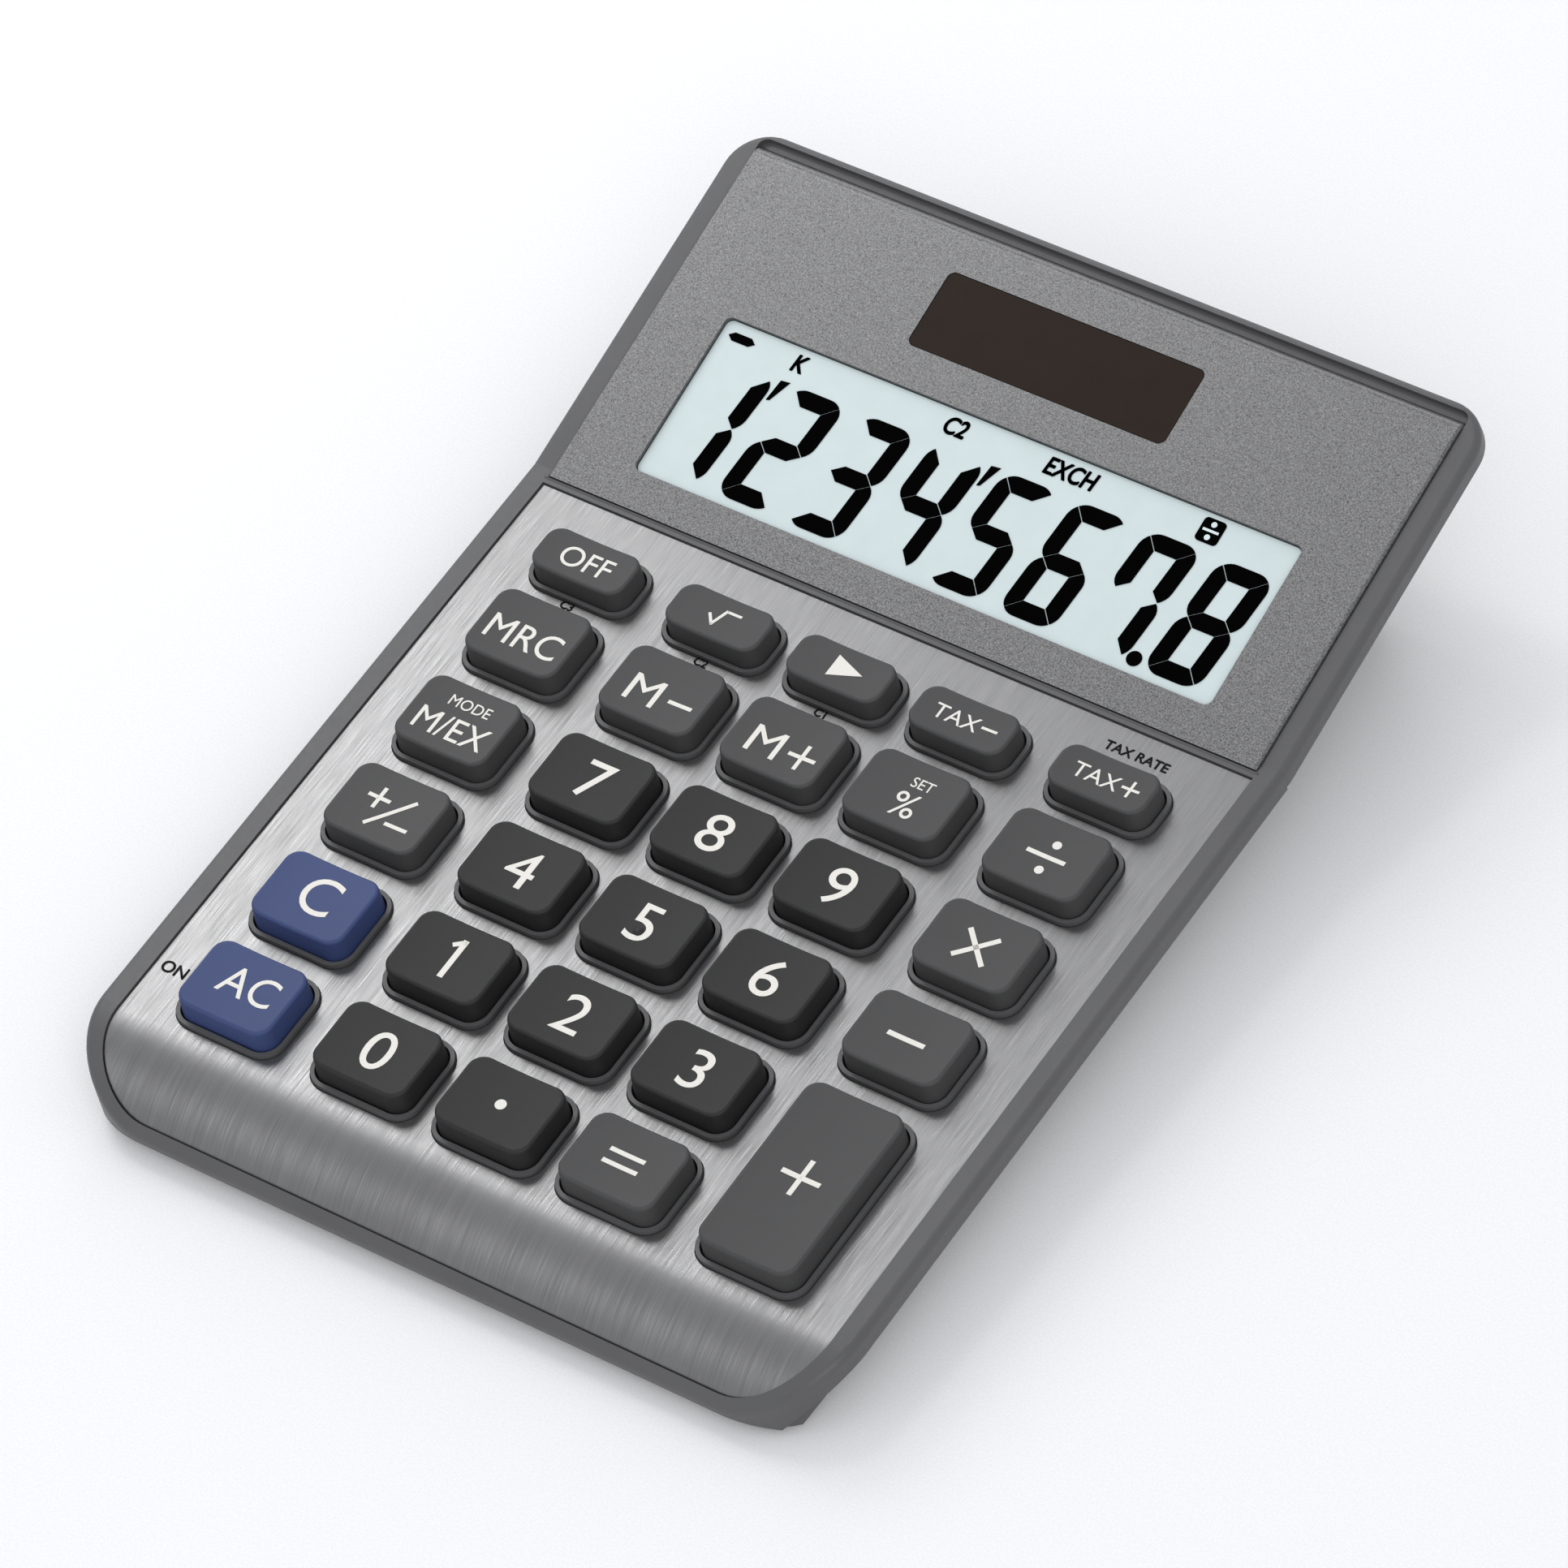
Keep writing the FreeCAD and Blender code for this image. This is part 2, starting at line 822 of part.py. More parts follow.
def screw_holes(name):
    """Pilot holes for the casing screws, drilled up from each boss face."""
    body = new_body(name)
    for index, (side, row, low, high) in enumerate(SCREWS):
        radius = size["screw_radius"] + size["screw_gap"] / 2
        desk_rod(body, f"{name}_{index}", low - 1, high - 0.9, (side, row), radius)
    return body


def make_screws():
    """Four casing screws, driven from below through the lower casing."""
    body = new_body("casing_screws")
    for index, (side, row, low, high) in enumerate(SCREWS):
        seat = low - size["parting_gap"] - screw_seat
        foot = seat - size["screw_head_height"]
        desk_rod(body, f"screw_head_{index}", foot, seat, (side, row), size["screw_head"])
        desk_rod(body, f"screw_shank_{index}", seat - 0.2, high - 1.2, (side, row), size["screw_radius"])
        for label, wide, long in (("slot", 2.2, 0.5), ("cross", 0.5, 2.2)):
            recess = new_sketch(body, f"screw_{label}_outline_{index}", offset=foot)
            rounded_at(recess, (side, row), dim(wide), dim(long), dim(0.1))
            pocket(body, f"screw_{label}_{index}", recess, dim(0.6), upward=True)
    return body


# ---------------------------------------------------------------- face plate and keys


def make_face_plate():
    """The brushed sheet, rolled down at the front, with one cut-out per key."""
    body = curved_slab(
        "face_plate",
        dim(0),
        -size["plate_thickness"],
        half_plate,
        dim(0),
        size["lip_run"],
        size["plate_corner"],
    )
    spread(
        body,
        "cutout",
        dim(1),
        dim(3),
        ring_width + size["collar_gap"] * 2,
        ring_length + size["collar_gap"] * 2,
        top_ring_length + size["collar_gap"] * 2,
        ring_corner + size["collar_gap"],
        cutting=True,
    )
    return body


def make_key(name, middle, length):
    """One key: a drafted cap with a dished, rounded top, a retaining flange and a stem."""
    body = new_body(name, "keyboard")
    cap = new_sketch(body, f"{name}_cap_outline", offset=flange_top)
    rounded_at(cap, middle, size["key_width"], length, size["key_corner"])
    pad(body, f"{name}_cap", cap, size["key_rise"] - flange_top, size["key_draft"])
    sweep = size["key_width"] * size["key_width"] / (8 * size["dish_depth"]) + size["dish_depth"] / 2
    dish = new_sketch(body, f"{name}_dish_outline", "XZ_Plane")
    circle(dish, (middle[0], size["key_rise"] - size["dish_depth"] + sweep), sweep)
    dished = pocket(body, f"{name}_dish", dish, dim(240), both=True)
    limit = size["key_rise"].value - size["dish_depth"].value - 0.01
    names = edges_where(dished, lambda point: point.z > limit)
    fillet(body, f"{name}_round", dished, names, size["key_round"])
    flange = new_sketch(body, f"{name}_flange_outline", offset=flange_base)
    wide = size["key_width"] + size["flange_width"] * 2
    deep = length + size["flange_width"] * 2
    rounded_at(flange, middle, wide, deep, size["key_corner"] + size["flange_width"])
    pad(body, f"{name}_flange", flange, size["flange_height"])
    inside = new_sketch(body, f"{name}_hollow_outline", offset=flange_base)
    skin = size["key_skin"] * 2
    rounded_at(inside, middle, size["key_width"] - skin, length - skin, size["key_corner"] - 1)
    depth = size["key_rise"] - size["dish_depth"] - flange_base - size["key_skin"]
    pocket(body, f"{name}_hollow", inside, depth, upward=True)
    stem = new_sketch(body, f"{name}_stem_outline", offset=stem_base)
    circle(stem, middle, size["stem_radius"])
    pad(body, f"{name}_stem", stem, depth + size["stem_drop"] + 0.2)
    return body


def make_keys():
    """All keys in rows, front row first; the plus key spans two rows."""
    keys = []
    for row, names in enumerate(KEY_ROWS):
        for column, name in zip(COLUMNS, names):
            if name is None:
                continue
            middle = (column, FRONT_ROW + size["row_pitch"] * row)
            length = size["key_length"]
            if name == "key_plus":
                middle = (column, PLUS_ROW)
                length = length + size["row_pitch"]
            keys.append(make_key(name, middle, length))
    for column, name in zip(COLUMNS, TOP_KEYS):
        keys.append(make_key(name, (column, TOP_ROW), size["top_key_length"]))
    return keys


# ---------------------------------------------------------------- keypad mat and board

mat_front = -(size["front_row"] + ring_length / 2 + size["mat_margin"])
mat_rear = -(size["top_row"] - top_ring_length / 2 - 1.5)


def make_mat():
    """The silicone sheet with one hollow dome under each key."""
    body = new_body("keypad_mat", "keyboard")
    sheet_outline = new_sketch(body, "mat_outline", offset=mat_base)
    half = size["board_half"]
    rounded(sheet_outline, -half, half, mat_front, mat_rear, [size["sheet_corner"]] * 4)
    pad(body, "mat_sheet", sheet_outline, size["mat_thickness"])
    radius = size["dome_radius"]
    spread(
        body,
        "dome",
        mat_top - 0.1,
        size["dome_height"] + 0.1,
        radius,
        radius,
        radius,
        None,
        draft=size["dome_draft"],
    )
    spread(
        body,
        "dome_hollow",
        mat_base + size["mat_thickness"] + 0.5,
        size["mat_thickness"] + 0.6,
        radius - size["dome_wall"],
        radius,
        radius,
        None,
        cutting=True,
    )
    return body


def make_board():
    """The printed circuit board under the mat."""
    body = new_body("main_board", "keyboard")
    outline = new_sketch(body, "board_outline", offset=board_base)
    half = size["board_half"]
    rounded(outline, -half, half, mat_front, mat_rear, [size["sheet_corner"]] * 4)
    pad(body, "board_sheet", outline, size["board_thickness"])
    return body


def make_chip():
    """The black resin drop that covers the bonded chip, under the rear of the board."""
    body = new_body("chip_resin", "keyboard")
    outline = new_sketch(body, "chip_outline", offset=board_base - size["chip_height"])
    circle(outline, (dim(0), -size["chip_row"]), size["chip_radius"])
    drop = pad(body, "chip_drop", outline, size["chip_height"])
    limit = board_base.value - size["chip_height"].value + 0.05
    names = edges_where(drop, lambda point: point.z < limit)
    fillet(body, "chip_edge", drop, names, size["chip_round"])
    return body


def make_capacitor():
    """The supply capacitor beside the chip."""
    body = new_body("supply_capacitor", "keyboard")
    outline = new_sketch(body, "capacitor_outline", offset=board_base - size["capacitor_height"])
    place_at = (size["capacitor_side"], -size["capacitor_row"])
    rounded_at(outline, place_at, size["capacitor_width"], size["capacitor_length"], dim(0.4))
    pad(body, "capacitor_block", outline, size["capacitor_height"])
    return body


# ---------------------------------------------------------------- display pieces

screen_half = size["screen_width"] / 2
screen_reach = size["screen_length"] / 2
film_top = -(size["bezel_thickness"] + size["glue_gap"])
glass_top = film_top - size["film_thickness"] - 0.02
glass_base = glass_top - size["glass_thickness"]
mirror_base = glass_base - 0.02 - size["film_thickness"]


def make_bezel():
    """The painted display bezel with the screen and solar windows."""
    body = new_body("display_bezel", "display")
    outline = new_sketch(body, "bezel_outline", offset=-size["bezel_thickness"])
    front = dim(0)
    rear = size["bezel_length"]
    corners = [(-half_plate, front), (half_plate, front), (half_plate, rear), (-half_plate, rear)]
    polygon(outline, corners)
    block = pad(body, "bezel_block", outline, size["bezel_thickness"])
    names = edges_where(block, lambda point: point.z > -0.01 and point.y > rear.value - 0.05)
    rolled = fillet(body, "bezel_back_edge", block, names, size["bezel_back_round"])
    side = half_plate.value - 0.01
    low = -size["bezel_back_round"].value - 0.01
    names = []
    for sign in (-1, 1):
        names += edges_where(rolled, lambda point, sign=sign: sign * point.x > side and point.z > low)
    fillet(body, "bezel_side_edges", rolled, names, size["bezel_side_round"])
    screen = new_sketch(body, "screen_outline", offset=dim(1))
    rounded_at(
        screen,
        (dim(0), size["screen_middle"]),
        size["screen_width"],
        size["screen_length"],
        size["screen_corner"],
    )
    pocket(body, "screen_window", screen, size["bezel_thickness"] + 2)
    solar = new_sketch(body, "solar_outline", offset=dim(1))
    gap = size["fit_gap"] * 2
    rounded_at(
        solar,
        (dim(0), size["solar_middle"]),
        size["solar_width"] + gap,
        size["solar_length"] + gap,
        size["solar_corner"] + size["fit_gap"],
    )
    pocket(body, "solar_window", solar, size["bezel_thickness"] + 2)
    return body


def make_display_plates():
    """Front film, glass and mirror film of the liquid crystal cell."""
    reach = size["glass_margin"]
    front = size["screen_middle"] - screen_reach
    rear = size["screen_middle"] + screen_reach
    sharp = [dim(0.2)] * 4
    film = size["film_thickness"]
    span = screen_half + reach - 0.4
    front_film = display_block(
        "screen_film", film_top - film, film_top, -span, span, front - reach + 1, rear + reach - 0.4, sharp
    )
    pane = new_sketch(front_film, "film_pane_outline", offset=film_top - 0.05)
    gap = size["fit_gap"] * 2
    rounded_at(
        pane,
        (dim(0), size["screen_middle"]),
        size["screen_width"] - gap,
        size["screen_length"] - gap,
        size["screen_corner"] - size["fit_gap"],
    )
    pad(front_film, "film_pane", pane, 0.05 - film_top - size["screen_sink"])
    half = screen_half + reach
    glass = display_block(
        "screen_glass", glass_base, glass_top, -half, half, front - reach, rear + reach, sharp
    )
    mirror = display_block(
        "screen_mirror", mirror_base, mirror_base + film, -span, span, front - reach + 1, rear + reach - 0.4, sharp
    )
    return [front_film, glass, mirror]


def make_holder():
    """The tray that clamps the screen from below against the upper casing."""
    wall = size["holder_wall"]
    half = screen_half + size["glass_margin"] + size["fit_gap"]
    front = size["screen_middle"] - screen_reach - size["glass_margin"] - size["fit_gap"]
    rear = size["screen_middle"] + screen_reach + size["glass_margin"] + size["fit_gap"]
    top = -size["display_depth"] - 0.02
    body = display_block(
        "screen_holder",
        mirror_base - 0.05 - wall,
        top,
        -half - wall,
        half + wall,
        front - wall,
        rear + wall,
        [dim(1)] * 4,
    )
    inside = new_sketch(body, "holder_inside_outline", offset=top)
    rounded(inside, -half, half, front, rear, [dim(0.4)] * 4)
    pocket(body, "holder_inside", inside, top - mirror_base + 0.05)
    vent = new_sketch(body, "holder_vent_outline", offset=top)
    side = half - size["vent_side"]
    end = size["vent_end"]
    rounded(vent, -side, side, front + end, rear - end, [dim(2)] * 4)
    pocket(body, "holder_vent", vent, dim(6))
    return body


def make_solar_cell():
    """The amorphous silicon cell, almost flush with the bezel."""
    half = size["solar_width"] / 2
    reach = size["solar_length"] / 2
    top = -size["solar_sink"]
    return display_block(
        "solar_cell",
        -(size["bezel_thickness"] + size["glue_gap"] - 0.02),
        top,
        -half,
        half,
        size["solar_middle"] - reach,
        size["solar_middle"] + reach,
        [size["solar_corner"]] * 4,
    )


def make_ribbon():
    """The heat-seal ribbon from the rear edge of the board up to the screen glass."""
    body = new_body("screen_ribbon")
    section = new_sketch(body, "ribbon_section", "YZ_Plane")
    thin = size["ribbon_thickness"]
    low = desk_point(mat_rear - 3, board_base - 0.03)
    low_end = desk_point(mat_rear + 0.6, board_base - 0.03)
    glass_front = size["screen_middle"] - screen_reach - size["glass_margin"]
    high = display_point(glass_front + size["ribbon_hold"], mirror_base - 0.1 - size["holder_wall"])
    high_start = display_point(glass_front - size["holder_wall"], mirror_base - 0.1 - size["holder_wall"])
    outline = [
        low,
        low_end,
        high_start,
        high,
        (high[0], high[1] - thin),
        (high_start[0], high_start[1] - thin),
        (low_end[0], low_end[1] - thin),
        (low[0], low[1] - thin),
    ]
    polygon(section, outline)
    pad(body, "ribbon_sheet", section, size["ribbon_width"], both=True)
    return body


# ---------------------------------------------------------------- lower casing

parting = -(size["rim_depth"] + size["parting_gap"])
display_parting = -(size["display_depth"] + size["parting_gap"])
half_lower = half_casing - size["lower_inset"]
lip_drop = size["lip_radius"] + parting
lower_sweep = size["lip_sweep"] - 2


def side_section(name, frame, top, half, reach):
    """A long trapezoid that narrows downwards at the side slope."""
    body = new_body(name, frame)
    section = new_sketch(body, f"{name}_section", "XZ_Plane")
    slope = tangent(size["side_slope"])
    wide = half + reach * slope
    narrow = half - reach * slope
    outline = [
        (-narrow, top - reach),
        (narrow, top - reach),
        (wide, top + reach),
        (-wide, top + reach),
    ]
    polygon(section, outline)
    pad(body, f"{name}_bar", section, dim(400), both=True)
    return body


def lower_profile(name, outer):
    """Side view of the lower casing, or of the space inside it, as a wide bar."""
    body = new_body(name)
    profile = new_sketch(body, f"{name}_profile", "YZ_Plane")
    wall = size["floor_wall"]
    bottom = size["foot_height"] if outer else size["foot_height"] + wall
    start = -size["flat_length"]
    end_run = start - lip_drop * sine(lower_sweep)
    end_rise = lip_drop * cosine(lower_sweep) - size["lip_radius"]
    tip = desk_point(end_run, end_rise)
    back_top = display_point(display_back - size["lower_inset"], display_parting)
    back_foot = (back_top[0] - size["heel"], size["foot_height"])
    if outer:
        crest = desk_point(start, parting)
        bend = desk_point(dim(2.4), parting)
        step = display_point(dim(1.4), display_parting)
        rise = line(profile, (tip[0], bottom), tip)
        run = line(profile, crest, bend)
        line(profile, bend, step)
        line(profile, step, back_top)
        line(profile, back_top, back_foot)
        line(profile, back_foot, (tip[0], bottom))
        begin = 90 + tilt.value
        arc(
            profile,
            desk_point(start, -size["lip_radius"]),
            lip_drop,
            begin,
            begin + lower_sweep.value,
            (run, 1),
            (rise, 2),
        )
    else:
        ceiling = size["bend_height"] + 60
        inset = wall * 1.15
        lean = size["heel"] / (back_top[1] - back_foot[1])
        outline = [
            (tip[0] + wall, bottom),
            (back_foot[0] - inset + lean * wall, bottom),
            (back_foot[0] - inset + lean * (ceiling - size["foot_height"]), ceiling),
            (tip[0] + wall, ceiling),
        ]
        polygon(profile, outline)
    pad(body, f"{name}_bar", profile, dim(160), both=True)
    return body


def lower_plan(name, inset):
    """Plan outline of the lower casing with rounded corners."""
    body = new_body(name)
    outline = new_sketch(body, f"{name}_outline", offset=dim(-5))
    front = desk_point(-size["flat_length"] - lip_drop * sine(lower_sweep), dim(0))[0]
    rear = display_point(display_back - size["lower_inset"], display_parting)[0]
    big = size["lower_corner"] - inset
    small = size["back_corner"] - inset / 2
    half = half_lower - inset
    rounded(outline, -half, half, front + inset - 1, rear - inset + 1, [big, small, small, big])
    pad(body, f"{name}_prism", outline, dim(80))
    return body


def lower_space(name, outer):
    """The outer solid of the lower casing, or the space inside its walls."""
    inset = dim(0) if outer else size["floor_wall"]
    half = half_lower - inset * 1.155
    return overlap(
        name,
        lower_profile(f"{name}_side", outer),
        side_section(f"{name}_keyboard", "keyboard", parting, half, dim(60)),
        side_section(f"{name}_display", "display", display_parting, half, dim(60)),
        lower_plan(f"{name}_plan", inset),
    )


bay_low = size["foot_height"] + size["cover_thickness"] + size["cover_gap"]
cell_low = size["foot_height"] + size["cover_thickness"] + 0.1
cell_high = cell_low + size["cell_height"]
contact_top = cell_high + 0.05 + size["contact_thickness"]
bay_top = contact_top + size["bay_wall"]
bay_half = size["cover_width"] / 2 + size["bay_wall"]
bay_reach = size["cover_length"] / 2 + size["bay_wall"]
cell_place = (-size["cell_side"], size["bay_middle"])
plus_side = -size["cell_side"] - size["cell_radius"] - 0.05 - size["contact_thickness"] / 2
FEET = [
    (-size["front_foot_side"], -size["front_foot_row"]),
    (size["front_foot_side"], -size["front_foot_row"]),
    (-size["rear_foot_side"], size["rear_foot_row"]),
    (size["rear_foot_side"], size["rear_foot_row"]),
]


def make_lower_casing():
    """The tapered tray: walls, screw pillars, battery bay and foot recesses."""
    outside = lower_space("lower_outside", True)
    inside = lower_space("lower_inside", False)
    tray = cut("lower_tray", outside, inside)
    inner_floor = size["foot_height"] + size["floor_wall"] / 2
    pillars = new_body("lower_pillars")
    for index, (side, row, low, high) in enumerate(SCREWS):
        top = low - size["parting_gap"]
        desk_rod(pillars, f"pillar_{index}", inner_floor, top, (side, row), size["boss_radius"] + 0.9)
    desk_block(
        pillars,
        "battery_bay",
        inner_floor,
        bay_top,
        (dim(0), size["bay_middle"]),
        bay_half * 2,
        bay_reach * 2,
        size["cover_corner"] + 0.5,
    )
    posts = new_body("board_posts", "keyboard")
    plan = new_sketch(posts, "post_outline", offset=board_base - 20)
    for row in (size["post_front_row"], size["post_middle_row"], size["post_rear_row"]):
        for side in (-size["post_side"], size["post_side"]):
            circle(plan, (side, -row), size["post_radius"])
    pad(posts, "board_post", plan, dim(20) - size["board_gap"])
    supports = join("lower_supports", pillars, posts)
    trimmed = overlap("lower_supports_trimmed", supports, lower_space("lower_limit", True))
    fused = join("lower_fused", tray, trimmed)

    below = size["foot_height"] - 3
    tools = new_body("lower_cuts")
    for index, (side, row, low, high) in enumerate(SCREWS):
        seat = low - size["parting_gap"] - screw_seat
        place_at = (side, row)
        clear = size["screw_radius"] + size["screw_gap"]
        desk_rod(tools, f"shank_way_{index}", below, low + 1, place_at, clear)
        wide = size["screw_head"] + size["screw_gap"]
        desk_rod(tools, f"head_way_{index}", below, seat, place_at, wide)
    gap = size["cover_gap"] * 2
    desk_block(
        tools,
        "cover_recess",
        below,
        bay_low,
        (dim(0), size["bay_middle"]),
        size["cover_width"] + gap,
        size["cover_length"] + gap,
        size["cover_corner"],
    )
    well = size["cell_radius"] + size["cell_gap"]
    desk_rod(tools, "cell_well", below, contact_top + 0.05, cell_place, well)
    slot_middle = (plus_side + 0.4, size["bay_middle"])
    desk_block(tools, "contact_slot", below, contact_top + 0.05, slot_middle, dim(1.2), dim(5.2), dim(0.1))
    front_way = size["bay_middle"] - bay_reach
    for index, (side, run) in enumerate(((cell_place[0], 2.5), (plus_side, 0.5))):
        reach = size["bay_middle"] - run - front_way + 2
        way = (side, front_way - 2 + reach / 2)
        desk_block(tools, f"lead_way_{index}", contact_top - 0.4, bay_top + 1, way, dim(1.0), reach, dim(0.1))
    pilot = size["screw_radius"] + size["screw_gap"] / 2
    cover_screw = (size["cover_screw_side"], size["bay_middle"])
    desk_rod(tools, "cover_pilot", below, bay_low + 5, cover_screw, pilot)
    for index, middle in enumerate(FEET):
        top = size["foot_height"] + size["foot_sink"]
        desk_rod(tools, f"foot_recess_{index}", below, top, middle, size["foot_radius"] + 0.1)
    return cut("lower_casing", fused, tools)


def make_feet():
    """Four rubber feet."""
    body = new_body("rubber_feet")
    for index, middle in enumerate(FEET):
        top = size["foot_height"] + size["foot_sink"] - 0.03
        desk_rod(body, f"foot_{index}", dim(0), top, middle, size["foot_radius"])
    return body


def make_power():
    """Button cell, its two contacts, the bay cover and the cover's screw."""
    cell = new_body("button_cell")
    can = desk_rod(cell, "cell_can", cell_low, cell_high, cell_place, size["cell_radius"])
    limit = cell_low.value + 0.01
    names = edges_where(can, lambda point: point.z < limit)
    fillet(cell, "cell_rim", can, names, size["cell_edge"])
    minus = new_body("contact_minus")
    thin = size["contact_thickness"]
    desk_rod(minus, "minus_disc", cell_high + 0.05, cell_high + 0.05 + thin, cell_place, size["contact_disc"])
    plus = new_body("contact_plus")
    strip_at = (plus_side, size["bay_middle"])
    desk_block(plus, "plus_strip", cell_low + 0.4, contact_top - 0.1, strip_at, thin, size["contact_width"], dim(0.05))
    cover = new_body("battery_cover")
    middle = (dim(0), size["bay_middle"])
    low = size["foot_height"]
    high = low + size["cover_thickness"]
    radius = size["cover_corner"] - size["cover_gap"]
    desk_block(cover, "cover_plate", low, high, middle, size["cover_width"], size["cover_length"], radius)
    screw_at = (size["cover_screw_side"], size["bay_middle"])
    hole = new_sketch(cover, "cover_hole_outline", offset=high + 1)
    circle(hole, screw_at, size["screw_radius"] + size["screw_gap"])
    pocket(cover, "cover_hole", hole, size["cover_thickness"] + 2)
    sink = new_sketch(cover, "cover_sink_outline", offset=low + 0.5)
    circle(sink, screw_at, size["screw_head"] + size["screw_gap"])
    pocket(cover, "cover_sink", sink, dim(2))
    for index in range(4):
        grip = new_sketch(cover, f"cover_grip_outline_{index}", offset=low + size["grip_depth"])
        across = (index - 1.5) * size["grip_pitch"] - size["cell_side"]
        rounded_at(grip, (across, size["bay_middle"]), size["grip_width"], size["grip_length"], dim(0.5))
        pocket(cover, f"cover_grip_{index}", grip, dim(2))
    screw = new_body("cover_screw")
    desk_rod(screw, "cover_screw_head", low - 0.3, low + 0.45, screw_at, size["screw_head"])
    desk_rod(screw, "cover_screw_shank", low + 0.4, low + size["cover_screw_length"], screw_at, size["screw_radius"])
    return [cell, minus, plus, cover, screw]


def lead(body, name, side, points):
    """A thin bar along a path in the desk's YZ plane, given as its upper and front side."""
    section = new_sketch(body, f"{name}_section", "YZ_Plane", offset=side)
    thick = size["lead_thickness"]
    back = [(across + thick, up - thick) for across, up in reversed(points)]
    polygon(section, points + back)
    pad(body, name, section, thick, both=True)


def make_leads():
    """Two leads from the solar cell and two from the button cell to the board."""
    board_run = -size["top_row"]
    board_foot = desk_point(board_run, board_base - 0.03)
    low = (size["bay_middle"] - bay_reach - 8, size["lead_low"])
    level = bay_top + 0.5 + size["lead_thickness"]
    front = size["bay_middle"] - bay_reach - 1.5
    solar = new_body("solar_leads")
    start = display_point(size["solar_middle"] - 2, -(size["bezel_thickness"] + size["glue_gap"]))
    for label, side in (("left", -size["solar_lead_side"]), ("right", size["solar_lead_side"])):
        path = [start, (start[0] - 1, level), (front, level), low, board_foot]
        lead(solar, f"solar_lead_{label}", side, path)
    battery = new_body("battery_leads")
    top = contact_top + size["lead_thickness"] + 0.02
    for label, side, reach in (("minus", cell_place[0], 3.5), ("plus", plus_side, 1.5)):
        path = [(size["bay_middle"] - reach, top), (front, top), low, board_foot]
        lead(battery, f"battery_lead_{label}", side, path)
    return [solar, battery]


# ---------------------------------------------------------------- build and export


def export(parts):
    """Checks every object, then writes one STEP file per sub-part."""
    doc.recompute()
    for item in doc.Objects:
        if "Invalid" in item.State or "Error" in item.State:
            raise RuntimeError(f"{item.Name} failed: {item.State}")
    for item in parts:
        shape = item.Shape
        if shape.isNull() or not shape.isValid():
            raise RuntimeError(f"{item.Label} has no valid shape")
    for item in parts:
        item.Shape.exportStep(f"parts/{item.Label}.step")
        box = item.Shape.BoundBox
        print(
            f"{item.Label:18s} solids {len(item.Shape.Solids):2d} volume {item.Shape.Volume:9.1f}"
            f"  x {box.XMin:7.2f} {box.XMax:7.2f}  y {box.YMin:7.2f} {box.YMax:7.2f}"
            f"  z {box.ZMin:6.2f} {box.ZMax:6.2f}"
        )


export(
    [
        make_upper_casing(),
        make_lower_casing(),
        make_face_plate(),
        make_bezel(),
        *make_display_plates(),
        make_holder(),
        make_solar_cell(),
        make_ribbon(),
        make_mat(),
        make_board(),
        make_chip(),
        make_capacitor(),
        *make_power(),
        *make_leads(),
        make_screws(),
        make_feet(),
        *make_keys(),
    ]
)
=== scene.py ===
"""Finishes, prints, display figures, light and camera for a desk calculator on its CAD frame."""

from __future__ import annotations

import logging
import math
from dataclasses import dataclass, field
from enum import Enum

import bmesh
import bpy
from mathutils import Matrix, Vector

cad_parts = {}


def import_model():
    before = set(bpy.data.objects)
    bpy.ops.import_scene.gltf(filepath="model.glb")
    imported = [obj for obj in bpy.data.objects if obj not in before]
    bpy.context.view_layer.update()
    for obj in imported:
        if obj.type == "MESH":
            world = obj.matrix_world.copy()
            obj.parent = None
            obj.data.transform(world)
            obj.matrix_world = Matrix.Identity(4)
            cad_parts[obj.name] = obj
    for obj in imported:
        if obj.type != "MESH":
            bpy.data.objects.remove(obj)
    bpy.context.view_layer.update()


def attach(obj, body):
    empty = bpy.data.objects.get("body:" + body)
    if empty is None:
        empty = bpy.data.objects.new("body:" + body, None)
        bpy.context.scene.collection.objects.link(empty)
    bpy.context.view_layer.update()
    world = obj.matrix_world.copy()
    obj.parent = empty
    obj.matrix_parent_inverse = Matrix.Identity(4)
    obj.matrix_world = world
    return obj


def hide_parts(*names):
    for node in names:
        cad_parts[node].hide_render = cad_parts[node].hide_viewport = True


LOG = logging.getLogger("desk_calculator")
MM = 0.001
Point = tuple[float, float]
Stroke = tuple[Point, Point, float]
Colour = tuple[float, float, float]
CAP_SHARE = 0.73
PRINT_DEPTH = 0.05
MIX_FACTOR, MIX_FIRST, MIX_SECOND, MIX_COLOUR = 0, 6, 7, 2


@dataclass(frozen=True)
class Slope:
    """A tilted working plane: its origin in the desk frame and its tilt about X."""

    across: float
    up: float
    tilt: float

    def matrix(self) -> Matrix:
        """The transform from the plane's millimetres to the desk frame's metres."""
        turn = Matrix.Rotation(math.radians(self.tilt), 4, "X")
        shift = Matrix.Translation((0.0, self.across * MM, self.up * MM))
        return shift @ turn @ Matrix.Scale(MM, 4)


KEYBOARD = Slope(22.6616, 14.7, 3.5)
DISPLAY = Slope(23.6943, 15.3443, 15.7)
DESK = Slope(0.0, 0.0, 0.0)


# ---- node helpers


